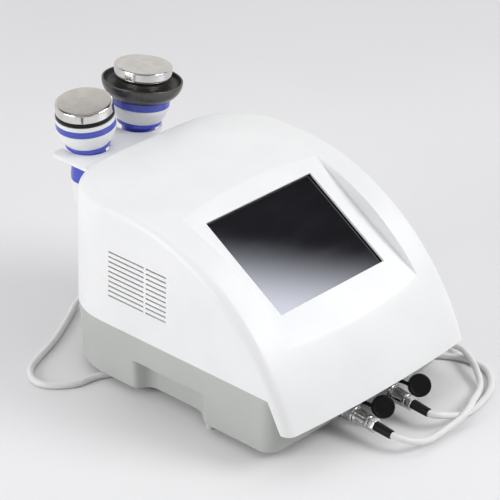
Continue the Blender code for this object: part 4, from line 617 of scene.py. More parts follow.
class Nodes:
    """A node tree, and short ways to add to it."""

    def __init__(self, tree):
        self.tree = tree

    def node(self, kind, settings=None, inputs=None):
        """Add a node: its settings first, then the values or links of its sockets."""
        made = self.tree.nodes.new(kind)
        for key, value in (settings or {}).items():
            setattr(made, key, value)
        for key, value in (inputs or {}).items():
            self.plug(made.inputs[key], value)
        return made

    def plug(self, socket, value):
        if isinstance(value, Value):
            self.tree.links.new(value.socket, socket)
        elif isinstance(value, bpy.types.NodeSocket):
            self.tree.links.new(value, socket)
        elif socket.type == "RGBA" and len(value) == 3:
            socket.default_value = (*value, 1)
        else:
            socket.default_value = value

    def place(self, scale=(1, 1, 1), source="Object"):
        """Coordinates on the piece, times a scale; UV reads the piece's own pattern."""
        coordinates = self.node("ShaderNodeTexCoord").outputs[source]
        return self.node("ShaderNodeMapping", None, {"Vector": coordinates, "Scale": scale}).outputs[0]

    def noise(self, place, scale, detail=2.0, roughness=0.5):
        inputs = {"Vector": place, "Scale": scale, "Detail": detail, "Roughness": roughness}
        return Value(self, self.node("ShaderNodeTexNoise", None, inputs).outputs[0])

    def cells(self, place, scale, randomness=1.0):
        """Distance to the nearest of scattered points."""
        inputs = {"Vector": place, "Scale": scale, "Randomness": randomness}
        return Value(self, self.node("ShaderNodeTexVoronoi", None, inputs).outputs["Distance"])

    def mixed(self, share, first, second):
        """A colour between two others."""
        settings = {"data_type": "RGBA"}
        return self.node("ShaderNodeMix", settings, {0: share, 6: first, 7: second}).outputs[2]

    def bump(self, height, distance, strength=1.0):
        inputs = {"Height": height, "Distance": distance, "Strength": strength}
        return self.node("ShaderNodeBump", None, inputs).outputs[0]


class Finish(Nodes):
    """A material with one Principled BSDF."""

    def __init__(self, name, **sockets):
        self.material = bpy.data.materials.new(name)
        self.material.use_nodes = True
        super().__init__(self.material.node_tree)
        self.shader = self.tree.nodes["Principled BSDF"]
        self.feed(**sockets)

    def feed(self, **sockets):
        """Set sockets of the shader by name, with underscores for spaces."""
        for key, value in sockets.items():
            self.plug(self.shader.inputs[key.replace("_", " ")], value)


def tinted(colour_value, factor):
    return tuple(channel * factor for channel in colour_value)


def moulded(name, base, rough, grain, depth=0.00001, cloud=0.96, coat=0.0):
    """Moulded plastic: a faint cloud in the colour, fine grain in the relief and an uneven gloss."""
    made = Finish(name, IOR=1.5, Coat_Weight=coat, Coat_Roughness=0.12)
    place = made.place()
    clouds = made.noise(place, scale=14, detail=3).ramp(0.3, 0.7)
    fine = made.noise(place, scale=1 / grain, detail=1.5)
    patches = made.noise(place, scale=55)
    made.feed(Base_Color=made.mixed(clouds, tinted(base, cloud), base))
    made.feed(Roughness=rough - 0.04 + patches * 0.08 + fine * 0.03)
    made.feed(Normal=made.bump(fine, distance=depth, strength=0.5))
    return made.material


def turned_metal(name, base, rough, lines, scratch=0.06, metallic=1.0):
    """Metal from a lathe: fine rings follow the profile's length, with light handling marks."""
    made = Finish(name, Metallic=metallic)
    rings = made.noise(made.place((0, lines, 1), "UV"), scale=1, detail=3, roughness=0.6)
    marks = made.noise(made.place(), scale=70, detail=4, roughness=0.6)
    made.feed(Base_Color=made.mixed(marks.ramp(0.35, 0.7), tinted(base, 0.9), base))
    made.feed(Roughness=rough + (rings - 0.5) * scratch + (marks - 0.5) * scratch)
    made.feed(Normal=made.bump(rings, distance=0.000004, strength=0.35))
    return made.material


def rubbery(name, base, rough, dust=0.12):
    """Rubber: a soft grain, and dust that greys it in patches."""
    made = Finish(name, IOR=1.48, Specular_IOR_Level=0.25)
    place = made.place()
    fine = made.noise(place, scale=1800, detail=1)
    patches = made.noise(place, scale=130, detail=4, roughness=0.65).ramp(0.5, 0.85)
    dusty = tuple(channel + 0.02 for channel in base)
    made.feed(Base_Color=made.mixed(patches * dust, base, dusty))
    made.feed(Roughness=rough + patches * 0.15)
    made.feed(Normal=made.bump(fine, distance=0.00003, strength=0.4))
    return made.material


def sheathed(name, base):
    """Cable sheath: faint lengthwise draw lines and soft waviness."""
    made = Finish(name, IOR=1.46)
    lines = made.noise(made.place((40, 12, 1), "UV"), scale=1)
    soft = made.noise(made.place(), scale=60)
    made.feed(Base_Color=made.mixed(soft.ramp(0.3, 0.75), tinted(base, 0.94), base))
    made.feed(Roughness=0.34 + lines * 0.14)
    made.feed(Normal=made.bump(lines, distance=0.00003, strength=0.4))
    return made.material


def sheet_metal(name, base, rough=0.4):
    """Zinc-plated sheet: spangle in the gloss and rolling lines."""
    made = Finish(name, Metallic=0.9)
    place = made.place()
    spangle = made.cells(place, scale=260)
    rolled = made.noise(made.place((40, 900, 40)), scale=1)
    made.feed(Base_Color=made.mixed(spangle.ramp(0.1, 0.6), base, tinted(base, 0.85)))
    made.feed(Roughness=rough + spangle * 0.12)
    made.feed(Normal=made.bump(rolled, distance=0.00002, strength=0.3))
    return made.material


def circuit_board(name):
    """Solder mask over copper runs, with tinned pads on a grid."""
    made = Finish(name, Coat_Weight=0.3)
    place = made.place()
    layout = {"Vector": place, "Scale": 160.0, "Mortar Size": 0.09, "Mortar Smooth": 0.2}
    runs = Value(made, made.node("ShaderNodeTexBrick", None, layout).outputs["Fac"])
    pads = 1 - made.cells(place, scale=220, randomness=0.35).ramp(0.12, 0.2)
    mask = made.mixed(runs, MASK_GREEN, COPPER_UNDER_MASK)
    made.feed(Base_Color=made.mixed(pads, mask, TIN))
    made.feed(Roughness=0.4 - pads * 0.12, Metallic=pads * 0.9)
    made.feed(Normal=made.bump(runs, distance=0.00004, strength=0.5))
    return made.material


def wound_core(name):
    """Taped winding and stacked laminations: thin stripes across the height."""
    made = Finish(name)
    layers = {"Vector": made.place(), "Scale": 420.0, "Distortion": 0.6}
    stripes = Value(made, made.node("ShaderNodeTexWave", {"bands_direction": "Z"}, layers).outputs["Fac"])
    made.feed(Base_Color=made.mixed(stripes, TAPE_SHADE, TAPE))
    made.feed(Roughness=0.45 + stripes * 0.15)
    made.feed(Normal=made.bump(stripes, distance=0.0001, strength=0.4))
    return made.material


def display_glass(name, base):
    """Touch glass over an unlit display: a dark face under two glossy layers, with faint wipe marks."""
    made = Finish(name, IOR=1.52, Specular_IOR_Level=0.9, Coat_Weight=1.0, Coat_Roughness=0.04,
                  Coat_IOR=1.5)
    wipes = made.noise(made.place((9, 45, 9)), scale=1, detail=4, roughness=0.6).ramp(0.35, 0.8)
    fine = made.noise(made.place(), scale=2400, detail=1)
    made.feed(Base_Color=made.mixed(wipes, base, tinted(base, 1.35)))
    made.feed(Roughness=0.05 + wipes * 0.035 + fine * 0.01)
    return made.material


def paper(name, base):
    """Studio paper: soft mottling and a fine tooth."""
    made = Finish(name, Roughness=0.85, Specular_IOR_Level=0.2)
    place = made.place()
    clouds = made.noise(place, scale=2.2, detail=3).ramp(0.25, 0.75)
    tooth = made.noise(place, scale=700)
    made.feed(Base_Color=made.mixed(clouds, tinted(base, 0.97), base))
    made.feed(Normal=made.bump(tooth, distance=0.00005, strength=0.2))
    return made.material


def make_finishes(scene):
    """Every finish by its slot name, from the colours in the scene's settings."""
    shell = scene.console_shell
    hand = scene.console_hand
    plug = scene.console_plug
    grain = shell.grain
    return {
        "white_shell": moulded("white_shell", shell.white, 0.36, grain),
        "grey_shell": moulded("grey_shell", shell.grey, 0.5, grain, depth=0.00003, cloud=0.95),
        "blue_shell": moulded("blue_shell", hand.blue, 0.24, grain, depth=0.000005, cloud=0.9, coat=0.3),
        "black_plastic": moulded("black_plastic", BLACK_PLASTIC, 0.42, grain, depth=0.00003, cloud=0.8),
        "panel_silver": moulded("panel_silver", PANEL_SILVER, 0.35, grain, cloud=0.92),
        "clear_rubber": rubbery("clear_rubber", CLEAR_RUBBER, 0.3, dust=0.8),
        "black_rubber": rubbery("black_rubber", plug.rubber, 0.42),
        "screen": display_glass("screen_glass_finish", scene.console_studio.screen),
        "satin_steel": turned_metal("satin_steel", hand.steel, 0.15, lines=2600, scratch=0.05),
        "polished_horn": turned_metal("polished_horn", hand.horn, 0.13, lines=1800, scratch=0.05),
        "gunmetal": turned_metal("gunmetal", hand.cup, 0.3, lines=1500, scratch=0.12, metallic=0.85),
        "nickel": turned_metal("plated_nickel", plug.nickel, 0.16, lines=2200, scratch=0.08),
        "sheet": sheet_metal("zinc_sheet", ZINC),
        "board": circuit_board("circuit_board"),
        "core": wound_core("wound_core"),
        "cable": sheathed("cable_sheath", plug.cable),
    }


FINISHES = {}


def finish_of(slot):
    if not FINISHES:
        FINISHES.update(make_finishes(bpy.context.scene))
    return FINISHES[slot]


# Turned pieces

def turned_piece(name, profile, place, slot, body, node, radius=0.0004, steps=96, closed=False,
                 flutes=None, corner_steps=4):
    """One turned piece with its profile's corners rounded, standing for one node."""
    form = Form()
    line = softened(profile, radius, corner_steps, closed)
    carry = ring if closed else turned
    carry(form, line, place, steps, flutes)
    made = form.build(name, finish_of(slot))
    return dress(made, body, slot, node)


def ribbed(radii, heights, depth):
    """A ribbed stretch of a profile: every other radius is less by the depth."""
    return np.stack([radii - (np.arange(len(radii)) % 2) * depth, heights], axis=1).tolist()


# Case

# Rows of the case's grid below, beside and above the window, and from the pocket to the crest
BELOW_ROWS = 9
WINDOW_ROWS = 11
ABOVE_ROWS = 10
BACK_ROWS = 9
# Shares of the run from the visor to the pocket, closer together near the pocket
CLOSING_SHARES = np.array([0.3, 0.6, 0.8, 0.93, 1])
# Columns beside the pocket, beside the window, and over half the window
SIDE_COLUMNS = 8
HALF_WINDOW_COLUMNS = 16
# How far from the pocket's wall the plain columns begin, and how far the wall's own columns spread
WALL_MARGIN = 0.0022
WALL_SPREAD = 0.0002
# Steps of the edge round and of the case's rear corners
EDGE_STEPS = 7
CORNER_STEPS = 18
# Height of a wall's top from which the rows beside the louvres take their shares
WALL_TOP = 0.195
# A point this close to a line counts as on it
SLACK = 0.0001


def lip_radius():
    return bpy.context.scene.console_shell.lip_round


def crown(x):
    return CROWN * (1 - (x / HALF_WIDTH) ** 2)


def crossing(x):
    """Angle from the panel's normal at which the crowned arc meets the panel's plane."""
    return np.arccos(PANEL_REACH / (ARC_RADIUS + crown(np.minimum(np.abs(x), PANEL_HALF))))


def arc_spot(x, radius, angle):
    """A point of the front arc: y = crest - r cos a, z = centre + r sin a."""
    x, radius, angle = np.broadcast_arrays(x, radius, angle)
    y = ARC_CREST_Y - radius * np.cos(angle)
    z = ARC_CENTRE_Z + radius * np.sin(angle)
    return np.stack([x, y, z], axis=-1)


def even_both(count):
    """Shares from 0 to 1 that lie closer together at both ends."""
    return (1 - np.cos(np.linspace(0, math.pi, count + 1))) / 2


# Lean of the crowned top where the edge round meets it, the x there, and the reach of the round's middle
EDGE_LEAN = math.atan(2 * CROWN * (HALF_WIDTH - EDGE_FILLET) / HALF_WIDTH ** 2)
EDGE_X = HALF_WIDTH - EDGE_FILLET + EDGE_FILLET * math.sin(EDGE_LEAN)
ROUND_REACH = ARC_RADIUS + CROWN * (1 - (EDGE_X / HALF_WIDTH) ** 2) - EDGE_FILLET * math.cos(EDGE_LEAN)


def foot_angle(y):
    """Angle at which the foot of the edge round passes a given y."""
    return np.arccos((ARC_CREST_Y - np.asarray(y)) / ROUND_REACH)


def case_shares():
    """Shares of each zone along the arc, set so that rows fall on the visor's corners and louvre ends."""
    start = math.asin((VISOR_BOTTOM - ARC_CENTRE_Z) / ROUND_REACH)
    low = PANEL_NORMAL_ANGLE - crossing(PANEL_HALF)
    high = PANEL_NORMAL_ANGLE + crossing(PANEL_HALF)
    first_y = ARC_CREST_Y - ROUND_REACH * math.cos(start)
    brow = np.linspace(first_y, VISOR_HEEL[0], 4)[:-1]
    visor = np.linspace(VISOR_HEEL[0], VISOR_ROOT_Y, 7)
    front = (foot_angle(np.concatenate([brow, visor])) - start) / (low - start)
    front = np.concatenate([front, front[-1] + (1 - front[-1]) * CLOSING_SHARES])
    (louvre_start, louvre_break), (louvre_restart, _) = LOUVRE_COLUMNS
    lip = lip_radius()
    louvre_slope = math.tan(foot_angle(louvre_start) - PANEL_NORMAL_ANGLE) * PANEL_REACH
    louvre_share = (louvre_slope - WINDOW_LOW + lip) / (WINDOW_LENGTH + lip * 2)
    window = np.unique(np.concatenate([np.linspace(0, 1, WINDOW_ROWS + 1), [louvre_share]]))
    breaks = (foot_angle([louvre_break, louvre_restart]) - high) / (math.pi / 2 - high)
    back = np.unique(np.concatenate([even_both(BACK_ROWS), breaks]))
    return front, window, back


def window_rows():
    """The first and the last row of the window in the case's grid."""
    front, window, _ = case_shares()
    first = len(front) + BELOW_ROWS - 1
    return first, first + len(window) - 1


def row_angles(x, start_radius):
    """Angles of every row of the arc at the columns x: five zones whose ends follow the visor, the
    lower crossing, the window's two ends, the upper crossing and the crest."""
    front, window, back = case_shares()
    x = np.asarray(x, dtype=float)
    start = np.arcsin((VISOR_BOTTOM - ARC_CENTRE_Z) / start_radius)
    cross = crossing(x)
    low = PANEL_NORMAL_ANGLE - cross
    high = PANEL_NORMAL_ANGLE + cross
    reach = np.tan(cross) * PANEL_REACH
    window_low = WINDOW_LOW - lip_radius()
    window_high = WINDOW_HIGH + lip_radius()
    slopes = np.concatenate([
        -reach + (window_low + reach) * even_both(BELOW_ROWS)[1:, None],
        window_low + (window_high - window_low) * window[1:, None] + x * 0,
        window_high + (reach - window_high) * even_both(ABOVE_ROWS)[1:, None],
    ])
    first = start + (low - start) * front[:, None]
    middle = PANEL_NORMAL_ANGLE + np.arctan(slopes / PANEL_REACH)
    last = high + (math.pi / 2 - high) * back[1:, None]
    return np.concatenate([first, middle, last])


def softer_least(first, second, width):
    """The smaller of two values, blended over a width where they meet."""
    share = np.clip(0.5 + 0.5 * (first - second) / width, 0, 1)
    return first * (1 - share) + second * share - width * share * (1 - share)


def top_columns():
    """Columns across the top: outer, pocket wall, panel beside the window, window, and mirrored. Each
    has its x, the shares of the round's radius that it moves across and down, its share of the pocket's
    depth, and 1 where it is on a pocket wall."""
    turn = np.radians([0, 30, 60])
    across = np.concatenate([1 - np.sin(turn), [0, 0, 0], -(1 - np.cos(turn[1:])), [-1]])
    down = np.concatenate([1 - np.cos(turn), [1, 0, -1], -(1 - np.sin(turn[1:])), [0]])
    depth = np.array([0, 0, 0, 0, 0.5, 1, 1, 1, 1])
    hole = WINDOW_WIDTH / 2 + lip_radius()
    outer = np.linspace(EDGE_X, PANEL_HALF + WALL_MARGIN, SIDE_COLUMNS)
    wall = PANEL_HALF + np.linspace(WALL_SPREAD, -WALL_SPREAD, len(depth))
    inner = np.linspace(PANEL_HALF - WALL_MARGIN, hole, SIDE_COLUMNS)
    window = np.linspace(hole, 0, HALF_WINDOW_COLUMNS + 1)[1:]
    x = np.concatenate([outer, wall, inner, window])

    def whole(values, inside=0):
        rest = np.full(len(inner) + len(window), inside)
        return np.concatenate([np.zeros(len(outer)), values, rest])

    half = np.stack([x, whole(across), whole(down), whole(depth, 1), whole(np.ones(len(depth)))])
    left = half * np.array([-1, -1, 1, 1, 1])[:, None]
    right = half[:, ::-1][:, 1:]
    return np.concatenate([left, right], axis=1)


def front_top(columns, rounding):
    """The arc and the sunk panel. Outside the pocket r is the crowned arc; inside it r is the softened
    smaller of the arc and the plane; on a pocket wall r falls from one to the other round two radii of
    at most 45% of the drop."""
    x, across, down, depth, wall = columns
    outside = np.abs(x) > PANEL_HALF + WALL_MARGIN / 2
    radius = ARC_RADIUS + crown(np.where(outside, np.abs(x), np.minimum(np.abs(x), PANEL_HALF)))
    angles = row_angles(x, ARC_RADIUS + crown(x))
    plane = PANEL_REACH / np.cos(angles - PANEL_NORMAL_ANGLE)
    floor = softer_least(radius[None], plane, CREASE)
    drop = np.maximum(radius[None] - floor, 0)
    bend = np.minimum(rounding, drop * 0.45)
    level = radius[None] - drop * depth[None]
    level = np.where(wall[None] > 0, level - bend * down[None], level)
    return arc_spot(x[None] + bend * across[None], level, angles)


def rear_height(x, y):
    """Top behind the crest: a flat arc in y under the same crown in x."""
    return CASE_TOP + crown(x) - REAR_ARC_RADIUS + np.sqrt(REAR_ARC_RADIUS ** 2 - (y - ARC_CREST_Y) ** 2)


def rear_edge():
    """The left edge behind the crest, as a plan centre and an outward direction for each station."""
    straight = np.linspace(ARC_CREST_Y, CORNER_Y, 5)
    straight = np.unique(np.concatenate([straight, [LOUVRE_COLUMNS[1][1]]]))[1:]
    corner = np.linspace(0, math.pi / 2, CORNER_STEPS + 1)[1:]
    turn = np.concatenate([np.zeros(len(straight)), corner])
    centre_y = np.concatenate([straight, np.full(CORNER_STEPS, CORNER_Y)])
    outward = np.stack([-np.cos(turn), np.sin(turn)], axis=1)
    centre = np.stack([np.full(len(turn), CORNER_RADIUS - HALF_WIDTH), centre_y], axis=1)
    return centre, outward


def rear_round(centre, outward, shares):
    """The edge round behind the crest: a quarter turn whose end leans as the top does there. Returns
    its points, and in plan where it meets the top."""
    inner = centre + outward * (CORNER_RADIUS - EDGE_FILLET)
    slope = 2 * CROWN * -inner[:, 0] / HALF_WIDTH ** 2 * -outward[:, 0]
    slope = slope + (inner[:, 1] - ARC_CREST_Y) / REAR_ARC_RADIUS * outward[:, 1]
    lean = np.arctan(slope)
    contact = inner + outward * (EDGE_FILLET * np.sin(lean))[:, None]
    height = rear_height(contact[:, 0], contact[:, 1]) - EDGE_FILLET * np.cos(lean)
    turn = (math.pi / 2 - lean)[:, None] * shares[None]
    flat = inner[:, None] + outward[:, None] * (EDGE_FILLET * np.cos(turn))[..., None]
    rise = height[:, None] + EDGE_FILLET * np.sin(turn)
    return np.concatenate([flat, rise[..., None]], axis=2), contact


def back_round(x, shares):
    """The edge round along the straight rear, a quarter turn as well."""
    inner = REAR_WALL_Y - EDGE_FILLET
    lean = math.atan((inner - ARC_CREST_Y) / REAR_ARC_RADIUS)
    contact = np.full(len(x), inner + EDGE_FILLET * math.sin(lean))
    height = rear_height(x, contact) - EDGE_FILLET * math.cos(lean)
    turn = (math.pi / 2 - lean) * shares
    y = np.broadcast_to(inner + EDGE_FILLET * np.cos(turn), (len(x), len(turn)))
    z = height[:, None] + EDGE_FILLET * np.sin(turn)
    return np.stack([np.broadcast_to(x[:, None], y.shape), y, z], axis=-1)


def wall_levels(foot, rim, louvred):
    """Heights on the wall under each station, downwards: on the louvres' stations they are the slots'
    own edges, and elsewhere they keep the same shares of the wall. Also the rows that are slots."""
    starts = LOUVRE_BOTTOM + np.arange(LOUVRE_COUNT) * LOUVRE_PITCH
    slots = np.stack([starts, starts + LOUVRE_SLOT], axis=1).ravel()
    between = np.linspace(0, 1, 5)[1:-1]

    def ladder(bottom, top):
        below = bottom + (slots[0] - bottom) * between
        above = slots[-1] + (top - slots[-1]) * between
        return np.concatenate([[bottom], below, slots, above, [top]])

    reference = ladder(SEAM_HEIGHT + GAP, WALL_TOP)
    shares = (reference - reference[0]) / (reference[-1] - reference[0])
    levels = rim[:, None] + (foot - rim)[:, None] * shares[None]
    levels[louvred] = np.array([ladder(low, high) for low, high in zip(rim[louvred], foot[louvred])])
    lowest_slot = len(reference) - 2 - (len(between) + 1)
    return levels[:, ::-1], lowest_slot - np.arange(LOUVRE_COUNT) * 2


def case_skirt(form, round_rear, back_x, shares):
    """The edge round and the walls under it, from the left front round the rear to the right front,
    without the louvres' slots."""
    turn = (math.pi / 2 - EDGE_LEAN) * shares
    round_x = -(HALF_WIDTH - EDGE_FILLET) - EDGE_FILLET * np.cos(turn)
    round_reach = ROUND_REACH + EDGE_FILLET * np.sin(turn)
    angles = row_angles(np.full(len(turn), -PANEL_HALF), round_reach)
    left = np.concatenate([arc_spot(round_x[None], round_reach[None], angles), round_rear])
    edge = np.concatenate([left, back_round(back_x, shares), left[::-1] * (-1, 1, 1)])
    foot = edge[:, 0]
    visor_y = [foot[0, 1], VISOR_HEEL[0], VISOR_ROOT_Y]
    rim = np.interp(foot[:, 1], visor_y, [VISOR_BOTTOM, VISOR_HEEL[1], SEAM_HEIGHT + GAP])
    on_side = np.abs(foot[:, 0]) > HALF_WIDTH - SLACK
    fore = LOUVRE_COLUMNS[0][0] - SLACK
    aft = LOUVRE_COLUMNS[1][1] + SLACK
    louvred = on_side & (foot[:, 1] > fore) & (foot[:, 1] < aft)
    levels, slot_rows = wall_levels(foot[:, 2], rim, louvred)
    flat = np.broadcast_to(foot[:, None, :2], levels.shape + (2,))
    wall = np.concatenate([flat, levels[..., None]], axis=2)
    skirt = np.concatenate([edge[:, ::-1], wall[:, 1:]], axis=1)
    skip = np.zeros((len(skirt) - 1, skirt.shape[1] - 1), dtype=bool)
    middle = (foot[1:, 1] + foot[:-1, 1]) / 2
    both = on_side[1:] & on_side[:-1]
    for low, high in LOUVRE_COLUMNS:
        stations = both & (middle > low) & (middle < high)
        skip[np.ix_(stations, len(shares) - 1 + slot_rows)] = True
    form.grid(skirt, skip=skip)


def case_shell(form, rounding):
    """The whole outer face of the case: the top with the window's hole, the skirt and the window's lip."""
    columns = top_columns()
    shares = np.linspace(0, 1, EDGE_STEPS + 1)
    round_rear, contact = rear_round(*rear_edge(), shares)
    rear_x = np.abs(contact[:, :1]) * (columns[0] / EDGE_X)
    rear_y = np.broadcast_to(contact[:, 1:], rear_x.shape)
    rear = np.stack([rear_x, rear_y, rear_height(rear_x, rear_y)], axis=-1)
    top = np.concatenate([front_top(columns, rounding), rear])
    first, last = window_rows()
    middle = (columns[0][1:] + columns[0][:-1]) / 2
    skip = np.zeros((len(top) - 1, top.shape[1] - 1), dtype=bool)
    skip[first:last] = np.abs(middle) < WINDOW_WIDTH / 2 + lip_radius()
    form.grid(top, skip=skip)
    case_skirt(form, round_rear, rear_x[-1][1:-1], shares)
    window_lip(form, columns[0])


def panel_spots(x, slope, depth):
    """Points on the panel: x across, slope along it, depth below its face."""
    x, slope, depth = (part[..., None] for part in np.broadcast_arrays(x, slope, depth))
    return PANEL_MIDDLE + x * (1.0, 0, 0) + slope * PANEL_UP - depth * PANEL_OUT


def window_lip(form, x):
    """The window's edge: the loop of grid points round the hole, carried in and down round a radius."""
    lip = lip_radius()
    first, last = window_rows()
    angles = row_angles([0], ARC_RADIUS)[first:last + 1, 0]
    rows = np.tan(angles - PANEL_NORMAL_ANGLE) * PANEL_REACH
    hole = WINDOW_WIDTH / 2 + lip
    across = x[np.abs(x) < hole + SLACK]
    loop_x = np.concatenate([across, np.full(len(rows) - 1, hole), across[::-1][1:],
                             np.full(len(rows) - 2, -hole)])
    loop_slope = np.concatenate([np.full(len(across), rows[0]), rows[1:],
                                 np.full(len(across) - 1, rows[-1]), rows[::-1][1:-1]])
    turn = np.linspace(0, math.pi / 2, 4)
    inset = np.concatenate([lip * np.sin(turn), [lip]])
    depth = np.concatenate([lip * (1 - np.cos(turn)), [SKIN]])
    middle = (rows[0] + rows[-1]) / 2
    half = (rows[-1] - rows[0]) / 2
    shrunk_x = loop_x[None] * (1 - inset / hole)[:, None]
    shrunk_slope = middle + (loop_slope - middle)[None] * (1 - inset / half)[:, None]
    points = panel_spots(shrunk_x, shrunk_slope, depth[:, None])
    form.grid(np.concatenate([points, points[:, :1]], axis=1))


class SLIMMER_OT_case(bpy.types.Operator):
    """Make the white case with its sunk panel, window, visor and louvres"""
    bl_idname = "slimmer.case"
    bl_label = "Upper case"

    def execute(self, context):
        form = Form()
        case_shell(form, context.scene.console_shell.pocket_round)
        case = form.build("case_shell", finish_of("white_shell"), open_shell=True)
        thicken(case, SKIN)
        dress(case, "console", "white_shell", "upper_case")
        return {"FINISHED"}


# Base tray

def base_inset(height):
    return GAP + (SEAM_HEIGHT - height) * math.tan(BASE_DRAFT)


def tray_outline(inset, notched, recess_inset=0.0):
    """Plan of the tray, anticlockwise from the left front: small radii in front, the case's corners at
    the rear. The recess's points follow its walls where notched is 1, and the side where it is 0."""
    x = HALF_WIDTH - inset
    front = BASE_FRONT_Y + inset
    rear = REAR_WALL_Y - inset
    small = BASE_FRONT_RADIUS
    large = CORNER_RADIUS - inset
    near, deep_near, deep_far, far = RECESS_Y
    before = near - RECESS_FLANK
    behind = far + RECESS_FLANK
    corners = [(x, before), (x, near), (RECESS_BACK_X, deep_near), (RECESS_BACK_X, deep_far), (x, far),
               (x, behind)]
    recess = softened(corners, RECESS_RADII, 7)
    pull = recess_inset * np.clip((x - recess[:, 0]) / RECESS_FADE, 0, 1)
    side = np.stack([x - pull, recess[:, 1]], axis=1)
    right = side + (recess - side) * notched
    middle = REAR_OPENINGS[:, 0]
    reach = REAR_OPENINGS[:, 2] / 2
    jambs = np.sort(np.concatenate([middle - reach, middle + reach]))[::-1]
    flank = np.linspace(front + small, before, 7)[1:-1]
    flank = np.stack([np.full(len(flank), x), flank], axis=1)
    return np.concatenate([
        arc_line((small - x, front + small), small, 180, 270, 8),
        arc_line((x - small, front + small), small, 270, 360, 8),
        flank,
        right,
        arc_line((x - large, rear - large), large, 0, 90, 20),
        np.stack([jambs, np.full(len(jambs), rear)], axis=1),
        arc_line((large - x, rear - large), large, 90, 180, 20),
        right[::-1] * (-1, 1),
        flank[::-1] * (-1, 1),
    ])


def tray_rows():
    """Rows of the tray's outer face: height, inset, whether the recesses are cut, and how far the side
    is drawn in over a recess. Rows lie on the sills and heads of the rear openings."""
    _, middle, _, length = REAR_OPENINGS.T
    sills = sorted(middle - length / 2)
    heads = sorted(middle + length / 2)
    turn = np.linspace(0, math.pi / 2, 5)
    rise = BASE_BOTTOM + BASE_EDGE * (1 - np.cos(turn))
    inset = BASE_EDGE * (1 - np.sin(turn))
    rows = [(height, extra, 1, 0) for height, extra in zip(rise, inset)]
    rows += [(height, 0, 1, 0) for height in (*sills, ROW_UNDER_RECESS_TOP, RECESS_TOP)]
    rows += [(RECESS_TOP, 0, 0, RECESS_BROW), (RECESS_TOP + RECESS_BROW_MIDDLE, 0, 0, RECESS_BROW_MIDDLE),
             (RECESS_TOP + RECESS_BROW, 0, 0, 0)]
    rows += [(height, 0, 0, 0) for height in (*heads, ROW_UNDER_SEAM, SEAM_HEIGHT)]
    return rows


def tray_shell(form):
    """The tray's outer face: its plan carried up the draft, notched below the recess's ceiling, without
    the faces whose middles lie in an opening of the rear wall."""
    lines = []
    for height, extra, notched, pulled in tray_rows():
        plan = tray_outline(base_inset(height) + extra, notched, pulled)
        lines.append(np.concatenate([plan, np.full((len(plan), 1), height)], axis=1))
    points = np.array(lines)
    points = np.concatenate([points, points[:, :1]], axis=1)
    centres = (points[:-1, :-1] + points[1:, :-1] + points[:-1, 1:] + points[1:, 1:])[..., None, :] / 4
    middle_x, middle_z, width, length = REAR_OPENINGS.T
    open_x = abs(centres[..., 0] - middle_x) < width / 2
    open_z = abs(centres[..., 2] - middle_z) < length / 2
    behind = centres[..., 1] > REAR_WALL_Y / 2
    index = form.grid(points, skip=(open_x & open_z & behind).any(axis=-1))
    form.lid(index[0, :-1])


def make_ledge():
    """The tray's upper rim in front: a plate from its front wall to the inside of the case's arc."""
    x = np.linspace(-1, 1, 25) * (HALF_WIDTH - BASE_FRONT_RADIUS)
    reach = ARC_RADIUS + crown(x) - SKIN - GAP
    front = ARC_CREST_Y - np.sqrt(reach ** 2 - (SEAM_HEIGHT - GAP - ARC_CENTRE_Z) ** 2)
    rear = np.full(2, BASE_FRONT_Y + BASE_WALL)
    outline = np.concatenate([np.stack([x, front], axis=1), np.stack([x[[-1, 0]], rear], axis=1)])
    form = Form()
    plate(form, outline, SEAM_HEIGHT - BASE_WALL, SEAM_HEIGHT - GAP, edge=0.0002)
    ledge = form.build("tray_ledge", finish_of("grey_shell"))
    dress(ledge, "console", "grey_shell")


def make_feet():
    """Four turned bumper feet, narrower towards the floor."""
    top = BASE_BOTTOM - GAP
    profile = [(0, 0), (FOOT_RADIUS * 0.6, 0), (FOOT_RADIUS * 0.8, 0.0008), (FOOT_RADIUS, top - FOOT_ROUND),
               (FOOT_RADIUS, top), (0, top)]
    line = softened(profile, FOOT_ROUND)
    for end, x, y in FEET:
        for side, sign in (("left", -1), ("right", 1)):
            form = Form()
            turned(form, line, Matrix.Translation((sign * x, y, 0)), 40)
            foot = form.build("bumper_" + end + "_" + side, finish_of("clear_rubber"))
            dress(foot, "console", "clear_rubber", "foot_" + end + "_" + side)


class SLIMMER_OT_tray(bpy.types.Operator):
    """Make the grey base tray with its two hand recesses, and its bumper feet"""
    bl_idname = "slimmer.tray"
    bl_label = "Base tray and feet"

    def execute(self, context):
        form = Form()
        tray_shell(form)
        tray = form.build("tray_shell", finish_of("grey_shell"), open_shell=True)
        thicken(tray, BASE_WALL)
        dress(tray, "console", "grey_shell", "base_tray")
        make_ledge()
        make_feet()
        return {"FINISHED"}


# Screen

